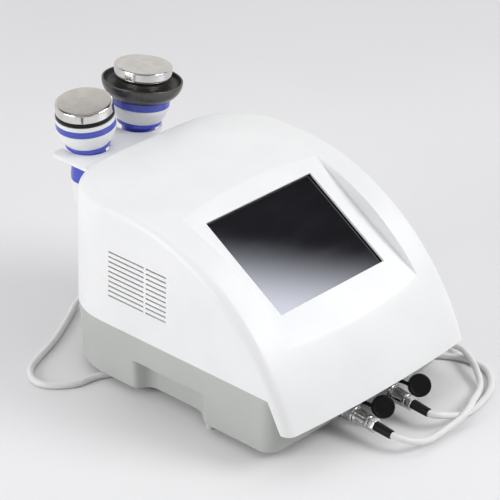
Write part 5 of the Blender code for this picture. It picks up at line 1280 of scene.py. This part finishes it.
class SLIMMER_OT_screen(bpy.types.Operator):
    """Make the glass behind the window and the black gasket round it"""
    bl_idname = "slimmer.screen"
    bl_label = "Screen"

    def execute(self, context):
        place = axes(PANEL_MIDDLE, (1, 0, 0), PANEL_UP, PANEL_OUT)
        gasket_top = -SKIN - GAP
        under = gasket_top - GASKET_THICK
        glass_top = under - GAP
        middle = (0, WINDOW_SHIFT)
        outer = box_line(WINDOW_WIDTH + GLASS_MARGIN * 2, WINDOW_LENGTH + GLASS_MARGIN * 2, middle)
        inner = box_line(WINDOW_WIDTH - GASKET_SHOWS * 2, WINDOW_LENGTH - GASKET_SHOWS * 2, middle)
        form = Form()
        outline = softened(outer, 0.001, 3, closed=True)
        plate(form, outline, glass_top - GLASS_THICK, glass_top, place, edge=0.0003, steps=2)
        glass = form.build("touch_glass", finish_of("screen"))
        dress(glass, "console", "screen", "screen_glass")

        loops = ((outer, under), (outer, gasket_top), (inner, gasket_top), (inner, under), (outer, under))
        points = np.array([np.append(line, np.full((4, 1), height), axis=1) for line, height in loops])
        form = Form()
        form.grid(placed(np.concatenate([points, points[:, :1]], axis=1), place))
        gasket = form.build("window_gasket", finish_of("black_rubber"))
        dress(gasket, "console", "black_rubber", "screen_gasket")
        return {"FINISHED"}


# Shelf

def shelf_outline():
    """Plan of the shelf: two round notches open to the rear, the right one held by a hook."""
    wall = REAR_WALL_Y + GAP
    rear = HANDPIECE_Y + 0.0155
    mouth = HANDPIECE_Y + 0.004
    inner = HANDPIECE_X - NOTCH_RADIUS
    outer = -HANDPIECE_X - NOTCH_RADIUS
    left = outer - SHELF_ARM
    hook_radius = NOTCH_RADIUS + HOOK_WIDTH
    hook_end = 270 - math.degrees(math.asin(HOOK_ROOT / hook_radius))
    hook = arc_line((HANDPIECE_X, HANDPIECE_Y), hook_radius, 360, hook_end, 28)
    notch_b = arc_line((HANDPIECE_X, HANDPIECE_Y), NOTCH_RADIUS, 180, 360, 36)
    notch_a = arc_line((-HANDPIECE_X, HANDPIECE_Y), NOTCH_RADIUS, 360, 180, 36)
    middle = softened([(-inner, mouth), (-inner, rear), (inner, rear), (inner, mouth)], 0.0018, 5)
    end = softened([(outer, mouth), (outer, rear), (left, rear), (left, wall + 0.01)], (0.0018, 0.008), 6)
    right = HANDPIECE_X - HOOK_ROOT
    return np.concatenate([[(right, wall)], hook[::-1], notch_b[::-1], middle[::-1], notch_a, end,
                           [(left, wall)]])


def make_shelf():
    """The shelf, the flange that holds it to the wall, and the gussets between them."""
    under = SHELF_TOP - SHELF_THICK
    left, right = FLANGE_ENDS
    half = FLANGE_THICK / 2
    inner = REAR_WALL_Y + GAP + half
    form = Form()
    plate(form, shelf_outline(), under, SHELF_TOP, edge=0.0007)
    flange = box_line(right - left, FLANGE_THICK, ((right + left) / 2, inner))
    plate(form, flange, under - FLANGE_DROP, under + SHELF_THICK / 2, edge=0.0003)
    web = [(inner, under - 0.011), (inner + 0.011, under + 0.002), (inner, under + 0.002)]
    web = softened(web, 0.0008, 3, True)
    sideways = Matrix(((0, 0, 1, 0), (1, 0, 0, 0), (0, 1, 0, 0), (0, 0, 0, 1)))
    for share in GUSSET_SHARES:
        x = left + (right - left) * share
        plate(form, web, x - half, x + half, sideways, edge=0.0003, steps=2)
    shelf = form.build("rear_shelf", finish_of("white_shell"))
    dress(shelf, "console", "white_shell", "handpiece_shelf")


def make_shelf_screws():
    """The screws through the flange, turned about an axis that points out of the wall."""
    left, right = FLANGE_ENDS
    y = REAR_WALL_Y + GAP + FLANGE_THICK + GAP
    z = SHELF_TOP - SHELF_THICK - FLANGE_DROP / 2
    outward = Matrix(((1, 0, 0, 0), (0, 0, 1, 0), (0, -1, 0, 0), (0, 0, 0, 1)))
    for number, share in enumerate(SCREW_SHARES, 1):
        place = Matrix.Translation((left + (right - left) * share, y, z)) @ outward
        turned_piece("shelf_fixing_" + str(number), SHELF_SCREW, place, "satin_steel", "console",
                     "shelf_screw_" + str(number), radius=0.0002, steps=36, corner_steps=3)


class SLIMMER_OT_shelf(bpy.types.Operator):
    """Make the shelf on the rear wall with its flange, gussets and screws"""
    bl_idname = "slimmer.shelf"
    bl_label = "Handpiece shelf"

    def execute(self, context):
        make_shelf()
        make_shelf_screws()
        return {"FINISHED"}


# Handpieces

def handpiece_place(x, lean):
    """Frame at the lower face of the ring that rests on the shelf."""
    lift = SHELF_TOP + RING_RADIUS * abs(math.sin(lean)) + GAP
    return Matrix.Translation((x, HANDPIECE_Y, lift)) @ Matrix.Rotation(lean, 4, "Y")


def make_grip(tag, place, ring_height):
    """Blue ring and neck, turned about the handpiece's axis."""
    bore = NECK_RADIUS - GRIP_WALL
    profile = [(bore, ring_height), (RING_RADIUS - ring_height / 8, ring_height), (RING_RADIUS, 0),
               (NECK_RADIUS, -0.0004), (NECK_RADIUS, -0.006), (NECK_RADIUS * 1.02, -0.014),
               (NECK_RADIUS * 1.06, -0.024), (GRIP_RADIUS * 0.985, -0.034), (GRIP_RADIUS, -GRIP_LENGTH),
               (GRIP_RADIUS - GRIP_WALL, -GRIP_LENGTH), (bore, -GRIP_LENGTH * 0.4)]
    radii = [0.0006, 0.0006, 0.0008] + [0.003] * 5 + [0.0004, 0.0004, 0.001]
    turned_piece("grip_shell_" + tag, profile, place, "blue_shell", "handpiece_" + tag, "grip_" + tag,
                 radii, closed=True)


def make_tail(tag, place):
    """White tail, hollow and closed at its end."""
    profile = [(0, TAIL_END), (0.0115, TAIL_END), (GRIP_RADIUS * 0.68, TAIL_END + 0.0105),
               (GRIP_RADIUS * 0.8, TAIL_END + 0.021), (GRIP_RADIUS * 0.955, TAIL_TOP - TAIL_LENGTH * 0.42),
               (GRIP_RADIUS * 0.99, TAIL_TOP - 0.012), (GRIP_RADIUS, TAIL_TOP),
               (GRIP_RADIUS - GRIP_WALL, TAIL_TOP), (GRIP_RADIUS * 0.78, TAIL_END + 0.0264),
               (0, TAIL_END + GRIP_WALL)]
    radii = [0.0015, 0.005, 0.006, 0.008, 0.006, 0.0005, 0.0005, 0.001]
    turned_piece("tail_shell_" + tag, profile, place, "white_shell", "handpiece_" + tag, "tail_" + tag,
                 radii)


def make_boot(tag, place):
    """Ribbed boot round the cable, wider towards the tail."""
    shares = np.linspace(0, 1, 15)
    heights = BOOT_TIP + 0.002 + shares * (BOOT_LENGTH - 0.008)
    profile = [(0, BOOT_TIP), (0.0045, BOOT_TIP), *ribbed(0.0048 + shares * 0.0016, heights, 0.0006),
               (0.0066, BOOT_TOP - 0.0055), (0.0066, BOOT_TOP), (0, BOOT_TOP)]
    turned_piece("cable_boot_" + tag, profile, place, "cable", "handpiece_" + tag, "boot_" + tag,
                 radius=0.0005, steps=40)


def make_handle(tag, place, ring_height):
    make_grip(tag, place, ring_height)
    make_tail(tag, place)
    make_boot(tag, place)


def make_bands(tag, place, low, bands):
    """Rings of the barrel, each a GAP above the one before, from a name, the lower and upper radius, the
    top, the wall and the slot. They belly out where the radii differ: r grows with the sine of a quarter
    turn, to the power 0.9. Returns where the next piece starts."""
    steps = 9
    shares = np.linspace(0, 1, steps)
    rounding = np.full(steps * 2, 0.0012)
    rounding[[0, steps - 1, steps, -1]] = 0.00035
    for name, lower, upper, top, wall, slot in bands:
        radius = lower + (upper - lower) * np.sin(shares * math.pi / 2) ** 0.9
        outer = np.stack([radius, low + (top - low) * shares], axis=1)
        inner = outer[::-1] - (wall, 0)
        section = np.concatenate([outer, inner])
        turned_piece(name + "_band_" + tag, section, place, slot, "handpiece_" + tag, name + "_" + tag,
                     rounding, closed=True)
        low = top + GAP
    return low


def make_stack(tag, place, top):
    """Clamped ultrasound stack inside the barrel: a column, two thin discs and a neck."""
    column, disc, groove, neck = 0.0135, 0.0165, 0.016, 0.005
    profile = [(0, GRIP_WALL), (column, GRIP_WALL), (column, top - 0.014), (disc, top - 0.014),
               (disc, top - 0.011), (groove, top - 0.0109), (groove, top - 0.0108), (disc, top - 0.0107),
               (disc, top - 0.008), (neck, top - 0.008), (neck, top), (0, top)]
    turned_piece("stack_" + tag, profile, place, "nickel", "handpiece_" + tag, "transducer_" + tag,
                 0.0002, 48)


class SLIMMER_OT_handpiece_a(bpy.types.Operator):
    """Make the handpiece with the flat steel head"""
    bl_idname = "slimmer.handpiece_a"
    bl_label = "Handpiece A"

    def execute(self, context):
        place = handpiece_place(-HANDPIECE_X, LEAN_A)
        ring_height = 0.0046
        barrel = 0.0328
        seal = 0.0318
        make_handle("a", place, ring_height)
        low = make_bands("a", place, ring_height + GAP, (
            ("collar", RING_RADIUS, barrel, 0.024, BAND_WALL, "white_shell"),
            ("stripe", barrel, barrel, 0.0314, BAND_WALL, "blue_shell"),
            ("rim", barrel, barrel, 0.0363, BAND_WALL * 2, "white_shell"),
            ("seal", seal, seal, 0.0407, BAND_WALL * 2, "black_rubber"),
        ))
        high = 0.0524
        radius = context.scene.console_hand.a_head_radius
        profile = [(0, low), (radius - 0.0004, low), (radius, low + 0.0006), (radius, high), (0, high)]
        turned_piece("steel_head_a", profile, place, "satin_steel", "handpiece_a", "head_a",
                     [0.0003, 0.0005, 0.0032], 128)
        make_stack("a", place, low - GAP)
        return {"FINISHED"}


def make_cup(place, foot, floor, brim, radius):
    """Dark cup round the horn: a flat foot with a bore, flared sides and an upright brim."""
    bore = 0.0174
    section = [(bore, foot), (0.0335, foot), (0.0385, foot + 0.0038), (0.0426, foot + 0.0092),
               (radius - 0.0004, brim - 0.0052), (radius, brim - 0.004), (radius, brim),
               (radius - 0.002, brim), (radius - 0.0023, brim - 0.005), (0.0398, foot + 0.0098),
               (0.0355, floor + 0.0008), (0.0318, floor), (bore, floor)]
    radii = [0.0003, 0.003, 0.004, 0.005, 0.001, 0.0008, 0.0008, 0.0008, 0.003, 0.003, 0.002, 0.001, 0.0003]
    turned_piece("horn_cup_b", section, place, "gunmetal", "handpiece_b", "cup_b", radii, 128, True)


def make_horn(place, low, groove):
    """Polished horn that widens up to a groove, with a flat face above it."""
    band = groove + 0.0014
    top = band + 0.0095
    neck, face = 0.0288, 0.0318
    profile = [(0, low), (0.028, low), (0.0285, low + 0.002), (0.0292, groove - 0.006),
               (0.0298, groove - 0.0035), (0.03, groove), (neck, groove), (neck, band), (face, band),
               (face, top), (0, top)]
    radii = [0.0005, 0.002, 0.003, 0.002, 0.0004, 0.0004, 0.0004, 0.0005, 0.0018]
    turned_piece("horn_face_b", profile, place, "polished_horn", "handpiece_b", "horn_b", radii, 128)


class SLIMMER_OT_handpiece_b(bpy.types.Operator):
    """Make the handpiece with the polished horn in its dark cup"""
    bl_idname = "slimmer.handpiece_b"
    bl_label = "Handpiece B"

    def execute(self, context):
        place = handpiece_place(HANDPIECE_X, LEAN_B)
        ring_height = 0.004
        barrel = 0.032
        make_handle("b", place, ring_height)
        foot = make_bands("b", place, ring_height + GAP, (
            ("collar", RING_RADIUS, barrel, 0.022, BAND_WALL, "white_shell"),
            ("stripe", barrel, barrel, 0.0305, BAND_WALL, "blue_shell"),
        ))
        floor = foot + 0.006
        make_cup(place, foot, floor, foot + 0.019, context.scene.console_hand.b_cup_radius)
        make_horn(place, floor + GAP, floor + 0.0185)
        make_stack("b", place, floor)
        return {"FINISHED"}


# Connectors and dust caps

def socket_place(side):
    """Frame on the front wall at a socket: local Z points out of the wall."""
    y = BASE_FRONT_Y + base_inset(SOCKET_Z)
    out = (0, -math.cos(BASE_DRAFT), -math.sin(BASE_DRAFT))
    up = (0, -math.sin(BASE_DRAFT), math.cos(BASE_DRAFT))
    return axes((side * SOCKET_X, y, SOCKET_Z), (1, 0, 0), up, out)


def faded(height, low, high, run):
    """1 between two heights, and falling to 0 over a run at both."""
    return np.clip((height - low) / run, 0, 1) * np.clip((high - height) / run, 0, 1)


def knurls(count, depth, low, high):
    """Ridges round a part between two heights: a rounded square wave in the turn."""
    def cut(turn, height):
        wave = np.clip(np.cos(turn * count) * 1.6, -1, 1)
        return depth * (0.5 - 0.5 * wave) * faded(height, low, high, 0.0006)
    return cut


def plug_flutes(count, depth, low, high):
    """Long flutes of the plug's body, which run out softly at both ends."""
    def cut(turn, height):
        wave = np.abs(np.sin(turn * count / 2)) ** 0.8
        return depth * wave * np.sqrt(faded(height, low, high, 0.0022))
    return cut


def make_socket(side, place):
    """Panel socket: its barrel and shoulder outside the wall, and its threads and nut inside."""
    barrel, nut, shoulder, bore = SOCKET_RADIUS, 0.0105, 0.0118, 0.0068
    profile = [(0, -0.0138), (barrel, -0.0138), (barrel, -0.0058), (nut, -0.0058), (nut, -0.0028),
               (barrel, -0.0028), (barrel, GAP), (shoulder, GAP), (shoulder, 0.0017), (0.0112, 0.0023),
               (barrel, 0.0023), (barrel, 0.01), (bore, 0.01), (bore, 0.0023), (0, 0.0023)]
    turned_piece("panel_socket_" + side, profile, place, "nickel", "console", "socket_" + side,
                 CONNECTOR_ROUND, 64)


def make_coupling_nut(side, place):
    """Knurled nut with a groove round it, hollow over the socket's barrel."""
    low, high = NUT_LOW, NUT_HIGH
    outer, groove, thread, collar = 0.01, 0.0093, 0.0086, 0.0071
    section = [(thread, low), (0.0096, low), (outer, low + 0.0006), (outer, low + 0.0055),
               (groove, low + 0.0061), (groove, low + 0.0067), (outer, low + 0.0073),
               (outer, high - 0.0012), (0.0092, high), (collar, high), (collar, 0.0106), (thread, 0.0106)]
    form = Form()
    ring(form, softened(section, CONNECTOR_ROUND, 3, True), place, 144,
         knurls(KNURLS, KNURL_DEPTH, low + 0.0006, high - 0.0014))
    nut = form.build("nut_" + side, finish_of("nickel"))
    dress(nut, "nut_" + side, "gunmetal", "coupling_nut_" + side)


def make_plug_body(side, place):
    """Fluted body of the plug, tapering towards the cable, with its pin end inside the nut."""
    low, high = PLUG_LOW, PLUG_HIGH
    heights = np.linspace(low + 0.0016, high - 0.0032, 12)
    radii = 0.0087 - (heights - low) / 0.019 * 0.0011
    profile = [(0, 0.0026), (0.0065, 0.0026), (0.0065, low), (0.0086, low), (0.0088, low + 0.0008),
               *np.stack([radii, heights], axis=1).tolist(), (0.0078, high - 0.0026),
               (0.0078, high - 0.0008), (0.0074, high), (0, high)]
    turned_piece("plug_" + side, profile, place, "nickel", "console", "plug_body_" + side,
                 CONNECTOR_ROUND, 168, flutes=plug_flutes(FLUTES, FLUTE_DEPTH, low + 0.001, high - 0.003))


def make_clamp(side, place):
    """Six-sided clamping nut."""
    turn = np.radians(np.arange(6) * 60)
    hexagon = np.stack([np.cos(turn), np.sin(turn)], axis=1) * CLAMP_RADIUS
    form = Form()
    plate(form, softened(hexagon, 0.0008, 4, True), CLAMP_LOW, CLAMP_HIGH, place)
    clamp = form.build("clamp_" + side, finish_of("nickel"))
    dress(clamp, "console", "nickel", "clamp_nut_" + side)


def make_sleeve(side, place):
    """Ribbed rubber sleeve round the cable, thinner towards its end."""
    low, high = SLEEVE_LOW, SLEEVE_HIGH
    rows = np.linspace(low + 0.0005, high - 0.0015, 16)
    radii = 0.0054 - (rows - low) / SLEEVE_LENGTH * 0.0005
    profile = [(0, low), (0.0053, low), *ribbed(radii, rows, 0.0001), (0.0046, high), (0, high)]
    turned_piece("cable_sleeve_" + side, profile, place, "black_rubber", "console", "sleeve_" + side,
                 steps=48)


class SLIMMER_OT_connectors(bpy.types.Operator):
    """Make the panel sockets and the plugs in them, from the coupling nut to the cable's sleeve"""
    bl_idname = "slimmer.connectors"
    bl_label = "Connectors"

    def execute(self, context):
        for side, sign in (("left", -1), ("right", 1)):
            place = socket_place(sign)
            make_socket(side, place)
            make_coupling_nut(side, place)
            make_plug_body(side, place)
            make_clamp(side, place)
            make_sleeve(side, place)
        return {"FINISHED"}


def cap_profile(radius):
    """Radius and height of a dust cap, from its hollow side to its face: a skirt, a step and a rounded
    face that is a little sunk."""
    step = radius - 0.0004
    skirt = radius - 0.0018
    return [(0, 0.0052), (skirt, 0.0052), (skirt, 0), (radius, 0), (radius, 0.0022), (step, 0.0026),
            (step, 0.006), (radius - 0.001, 0.007), (radius - 0.0028, 0.007), (radius - 0.0034, 0.0067),
            (0.004, 0.0067), (0, 0.0067)]


def strap_path(toward, radius):
    """The strap's middle line: a quadratic curve that leaves the ring in its plane and rises to the cap."""
    end = CAP_MIDDLE + toward * (radius - 0.0009) - CAP_FACING * 0.0018
    bend = Vector((end.x, 0, STRAP_START.z))
    start, bend, end = (np.array(point) for point in (STRAP_START, bend, end))
    t = np.linspace(0, 1, 25)[:, None]
    return start * (1 - t) ** 2 + bend * 2 * t * (1 - t) + end * t ** 2


class SLIMMER_OT_caps(bpy.types.Operator):
    """Make the rubber dust caps on their straps"""
    bl_idname = "slimmer.caps"
    bl_label = "Dust caps"

    def execute(self, context):
        radius = context.scene.console_plug.cap_radius
        low, high = STRAP_RING_LOW, STRAP_RING_LOW + STRAP_THICK
        toward = STRAP_START - CAP_MIDDLE
        toward = (toward - CAP_FACING * toward.dot(CAP_FACING)).normalized()
        back = axes(CAP_MIDDLE - CAP_FACING * 0.007, toward, CAP_FACING.cross(toward), CAP_FACING)
        cap_line = softened(cap_profile(radius), 0.0005)
        loop = [(STRAP_RING_INNER, low), (STRAP_RING_OUTER, low), (STRAP_RING_OUTER, high),
                (STRAP_RING_INNER, high)]
        loop = softened(loop, 0.0005, closed=True)
        path = strap_path(toward, radius)
        section = softened(box_line(*STRAP_SECTION), 0.0005, closed=True)
        for side, sign in (("left", -1), ("right", 1)):
            place = socket_place(sign)
            form = Form()
            turned(form, cap_line, place @ back, 96)
            ring(form, loop, place, 64)
            turn = np.array(place)[:3, :3]
            strap(form, placed(path, place), section, turn @ np.array([0.0, 1.0, 0.0]))
            cap = form.build("cap_" + side, finish_of("black_rubber"))
            dress(cap, "cap_" + side, "black_rubber", "dust_cap_" + side)
        return {"FINISHED"}


# Cables

def smooth_route(route, step, samples=24):
    """Even points on a curve through a route, whose first and last runs stay straight. Between two
    points b and c the curve is the cubic whose slopes there are half of c - a and half of d - b."""
    knots = np.asarray(route, dtype=float)
    a, b, c, d = (knots[k:len(knots) - 3 + k, None] for k in range(4))
    t = np.linspace(0, 1, samples, endpoint=False)[None, :, None]
    dense = b * 2 + (c - a) * t
    dense = dense + (a * 2 - b * 5 + c * 4 - d) * t ** 2
    dense = (dense + (b * 3 - a - c * 3 + d) * t ** 3) / 2
    dense = np.concatenate([dense.reshape(-1, 3), knots[-2:-1]])
    lengths = along(dense)
    marks = np.linspace(0, lengths[-1], round(lengths[-1] / step) + 1)
    even = np.stack([np.interp(marks, lengths, column) for column in dense.T], axis=1)
    return np.concatenate([knots[:1], even, knots[-1:]])


def cable_end(place, end, outward):
    """Two points on an axis: just past an end, and half a cable further."""
    near = place @ Vector((0, 0, end + outward * GAP))
    far = place @ Vector((0, 0, end + outward * (GAP + CORD_DIAMETER / 2)))
    return [tuple(near), tuple(far)]


class SLIMMER_OT_cables(bpy.types.Operator):
    """Make the two cables from the plugs to the handpieces"""
    bl_idname = "slimmer.cables"
    bl_label = "Cables"

    def execute(self, context):
        table = (("a", "right", 1, CABLE_A_ROUTE, handpiece_place(-HANDPIECE_X, LEAN_A)),
                 ("b", "left", -1, CABLE_B_ROUTE, handpiece_place(HANDPIECE_X, LEAN_B)))
        lowest = CORD_DIAMETER / 2 * 1.01
        for tag, side, sign, route, hand in table:
            start = cable_end(socket_place(sign), SLEEVE_HIGH, 1)
            finish = cable_end(hand, BOOT_TIP, -1)
            path = smooth_route(start + list(route) + finish[::-1], CABLE_STEP)
            path[:, 2] = np.maximum(path[:, 2], lowest)
            path = path[::-1]
            form = Form()
            tube(form, path, CORD_DIAMETER / 2)
            cable = form.build("lead_" + tag, finish_of("cable"))
            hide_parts("cable_" + tag)
            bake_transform(cable)
        return {"FINISHED"}


# Parts inside, fan, mains inlet and switch

NODE_FINISHES = {
    "lcd_module": "panel_silver", "lcd_bracket": "sheet", "control_board": "board",
    "buzzer": "black_plastic", "chassis_plate": "sheet", "power_supply": "sheet", "transformer": "core",
    "driver_board": "board", "heat_sink": "sheet", "fan_frame": "black_plastic",
    "fan_rotor": "black_plastic",
}
# The body of each, and the width of its eased edges
EASED_NODES = {
    "mains_inlet": ("console", 0.0006), "fuse_drawer": ("fuse", 0.0004),
    "switch_housing": ("console", 0.0006), "power_rocker": ("rocker", 0.0006),
}


class SLIMMER_OT_inside(bpy.types.Operator):
    """Give the parts inside the case their finishes"""
    bl_idname = "slimmer.inside"
    bl_label = "Parts inside"

    def execute(self, context):
        for name, slot in NODE_FINISHES.items():
            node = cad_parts[name]
            if not node.material_slots:
                node.data.materials.append(None)
            for holder in node.material_slots:
                holder.material = finish_of(slot)
        return {"FINISHED"}


class SLIMMER_OT_rear(bpy.types.Operator):
    """Make the mains inlet, its fuse drawer and the rocker switch, with eased edges"""
    bl_idname = "slimmer.rear"
    bl_label = "Mains inlet and switch"

    def execute(self, context):
        for name, (body, width) in EASED_NODES.items():
            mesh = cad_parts[name].data.copy()
            bm = bmesh.new()
            bm.from_mesh(mesh)
            bmesh.ops.remove_doubles(bm, verts=bm.verts, dist=NODE_MERGED)
            bmesh.ops.dissolve_limit(bm, angle_limit=math.radians(1), verts=bm.verts, edges=bm.edges)
            bm.to_mesh(mesh)
            bm.free()
            made = bpy.data.objects.new("eased_" + name, mesh)
            context.scene.collection.objects.link(made)
            mesh.materials.clear()
            mesh.materials.append(finish_of("black_plastic"))
            ease(made, width, 3, 40)
            settle(made)
            dress(made, body, "black_plastic", name)
        return {"FINISHED"}


# Stage

CAMERA_SPOT = (-1.91307, -1.69914, 1.49938)
CAMERA_BACK = Vector((-0.6629, -0.5805, 0.4729))
CAMERA_RIGHT = Vector((0.6689, -0.7429, 0.0258))
CAMERA_LENS = 197.3
FLOOR_REACH = 14
# Colours of the air round the object, as it lights the object and as glossy surfaces mirror it
AIR_LIGHT = (0.66, 0.663, 0.675)
AIR_NEAR_CAMERA = (0.12, 0.12, 0.125)
AIR_MIRRORED = (0.82, 0.8, 0.77)
AIR_MIRRORED_ABOVE = (0.09, 0.09, 0.1)
CARD_DARK = (0.002, 0.002, 0.0025)
CARD_BRIGHT = (0.86, 0.89, 1.0)


def card(name, middle, facing, across, width, height, strength=0.0, ramp=(0, 1)):
    """A card of the studio that shows only in glossy surfaces. Its light grows along its height, and
    falls a little along its width."""
    facing = Vector(facing).normalized()
    across = (Vector(across) - facing * Vector(across).dot(facing)).normalized()
    place = axes(middle, across, facing.cross(across), facing)
    corners = placed(np.append(box_line(width, height), np.zeros((4, 1)), axis=1), place)
    mesh = bpy.data.meshes.new(name)
    mesh.from_pydata(corners.tolist(), [], [(0, 1, 2, 3)])
    layer = mesh.uv_layers.new(name="pattern")
    layer.data.foreach_set("uv", [0, 0, 1, 0, 1, 1, 0, 1])
    finish = Finish(name + "_finish", Base_Color=(0, 0, 0), Roughness=1.0, Specular_IOR_Level=0.0,
                    Emission_Strength=strength)
    right, up, _ = (Value(finish, part) for part in
                    finish.node("ShaderNodeSeparateXYZ", None, {0: finish.place(source="UV")}).outputs)
    level = up + (right - 0.5) * -0.12
    finish.feed(Emission_Color=finish.mixed(level.ramp(*ramp), CARD_DARK, CARD_BRIGHT))
    mesh.materials.append(finish.material)
    made = bpy.data.objects.new(name, mesh)
    bpy.context.scene.collection.objects.link(made)
    made.visible_camera = False
    made.visible_diffuse = False
    made.visible_shadow = False
    made.visible_transmission = False


def lamp(name, spot, aim, width, height, power, spread=180):
    data = bpy.data.lights.new(name, "AREA")
    data.shape = "RECTANGLE"
    data.size = width
    data.size_y = height
    data.energy = power
    data.spread = math.radians(spread)
    made = bpy.data.objects.new(name, data)
    made.location = spot
    made.rotation_euler = (Vector(aim) - Vector(spot)).to_track_quat("-Z", "Y").to_euler()
    bpy.context.scene.collection.objects.link(made)


def make_camera(scene):
    data = bpy.data.cameras.new("studio_camera")
    data.lens = CAMERA_LENS
    data.sensor_width = 36
    data.clip_end = 50
    camera = bpy.data.objects.new("studio_camera", data)
    camera.matrix_world = axes(CAMERA_SPOT, CAMERA_RIGHT, CAMERA_BACK.cross(CAMERA_RIGHT), CAMERA_BACK)
    scene.collection.objects.link(camera)
    scene.camera = camera


def make_floor(scene):
    mesh = bpy.data.meshes.new("studio_floor")
    corners = np.append(box_line(FLOOR_REACH * 2, FLOOR_REACH * 2), np.zeros((4, 1)), axis=1)
    mesh.from_pydata(corners.tolist(), [], [(0, 1, 2, 3)])
    mesh.materials.append(paper("studio_paper", scene.console_studio.floor))
    floor = bpy.data.objects.new("studio_floor", mesh)
    scene.collection.objects.link(floor)


def make_air(scene):
    """Pale air all round. It is dimmer where the camera stands, except behind the object, and glossy
    surfaces mirror it dark overhead."""
    world = bpy.data.worlds.new("studio_air")
    world.use_nodes = True
    scene.world = world
    air = Nodes(world.node_tree)
    direction = air.node("ShaderNodeTexCoord").outputs["Generated"]
    across, away, height = (Value(air, part) for part in
                            air.node("ShaderNodeSeparateXYZ", None, {0: direction}).outputs)
    ray = air.node("ShaderNodeLightPath").outputs
    level = Vector(CAMERA_BACK[:2]).normalized()
    near_camera = (across * level.x + away * level.y).ramp(0.5, 0.85)
    near_camera = near_camera * (1 - Value(air, ray["Is Camera Ray"]))
    mirrored = air.mixed(height.ramp(0.52, 0.68), AIR_MIRRORED, AIR_MIRRORED_ABOVE)
    lighting = air.mixed(near_camera, AIR_LIGHT, AIR_NEAR_CAMERA)
    shade = air.mixed(Value(air, ray["Is Glossy Ray"]), lighting, mirrored)
    air.plug(world.node_tree.nodes["Background"].inputs["Color"], shade)


def make_cards():
    """A graded card that the screen mirrors to the camera, a dark one below the camera, and a small dark
    one close to the hand recess."""
    normal = Vector(PANEL_OUT)

    def mirrored(direction):
        return direction - normal * (2 * direction.dot(normal))

    away = mirrored(-CAMERA_BACK)
    screen = Vector(PANEL_MIDDLE + SHIFT)
    card("screen_card", screen + away, -away, mirrored(CAMERA_RIGHT), width=0.6, height=0.6,
         strength=6.1, ramp=(0.47, 0.66))
    card("dark_card", (-1.3, -1.14, 0.42), (1.3, 1.14, -0.3), CAMERA_RIGHT, width=2.2, height=0.7)
    card("low_dark_card", (-0.3, -0.06, 0.07), (0.66, 0.58, 0), CAMERA_RIGHT, width=0.13, height=0.12)


class SLIMMER_OT_stage(bpy.types.Operator):
    """Set up the camera, the floor and the studio light"""
    bl_idname = "slimmer.stage"
    bl_label = "Stage"

    def execute(self, context):
        scene = context.scene
        scene.view_settings.view_transform = "Standard"
        make_camera(scene)
        make_floor(scene)
        make_air(scene)
        lamp("left_light", (-2.1, 0.7, 0.9), (0, 0, 0.12), width=1.4, height=0.9, power=23)
        lamp("front_light", (1.1, -1.8, 1.75), (0, 0, 0.1), width=1.3, height=0.9, power=13.4, spread=120)
        lamp("top_light", (0.3, 0.6, 2.2), (0, 0, 0.1), width=1.6, height=1.2, power=4)
        make_cards()
        return {"FINISHED"}


# Panel and registration

PIECES = (SLIMMER_OT_stage, SLIMMER_OT_connectors, SLIMMER_OT_cables, SLIMMER_OT_case, SLIMMER_OT_tray,
          SLIMMER_OT_screen, SLIMMER_OT_shelf, SLIMMER_OT_handpiece_a, SLIMMER_OT_handpiece_b,
          SLIMMER_OT_caps, SLIMMER_OT_rear, SLIMMER_OT_inside)
SETTINGS = (("console_shell", ShellSettings), ("console_hand", HandpieceSettings),
            ("console_plug", ConnectorSettings), ("console_studio", StudioSettings))


class SLIMMER_PT_panel(bpy.types.Panel):
    """Lists the console's pieces and their settings"""
    bl_idname = "SLIMMER_PT_panel"
    bl_label = "Slimming console"
    bl_space_type = "VIEW_3D"
    bl_region_type = "UI"
    bl_category = "Console"

    def draw(self, context):
        layout = self.layout
        for name, kind in SETTINGS:
            box = layout.box()
            box.label(text=kind.__doc__.rstrip("."))
            for key in kind.__annotations__:
                box.prop(getattr(context.scene, name), key)
        for piece in PIECES:
            layout.operator(piece.bl_idname)


def register():
    for name, kind in SETTINGS:
        bpy.utils.register_class(kind)
        setattr(bpy.types.Scene, name, PointerProperty(type=kind))
    for kind in PIECES + (SLIMMER_PT_panel,):
        bpy.utils.register_class(kind)


def unregister():
    for kind in reversed(PIECES + (SLIMMER_PT_panel,)):
        bpy.utils.unregister_class(kind)
    for name, kind in reversed(SETTINGS):
        delattr(bpy.types.Scene, name)
        bpy.utils.unregister_class(kind)


def main():
    register()
    bpy.ops.slimmer.stage()
    bpy.ops.slimmer.connectors()
    bpy.ops.slimmer.cables()
    bpy.ops.slimmer.case()
    bpy.ops.slimmer.tray()
    bpy.ops.slimmer.screen()
    bpy.ops.slimmer.shelf()
    bpy.ops.slimmer.handpiece_a()
    bpy.ops.slimmer.handpiece_b()
    bpy.ops.slimmer.caps()
    bpy.ops.slimmer.rear()
    bpy.ops.slimmer.inside()


if __name__ == "__main__":
    main()
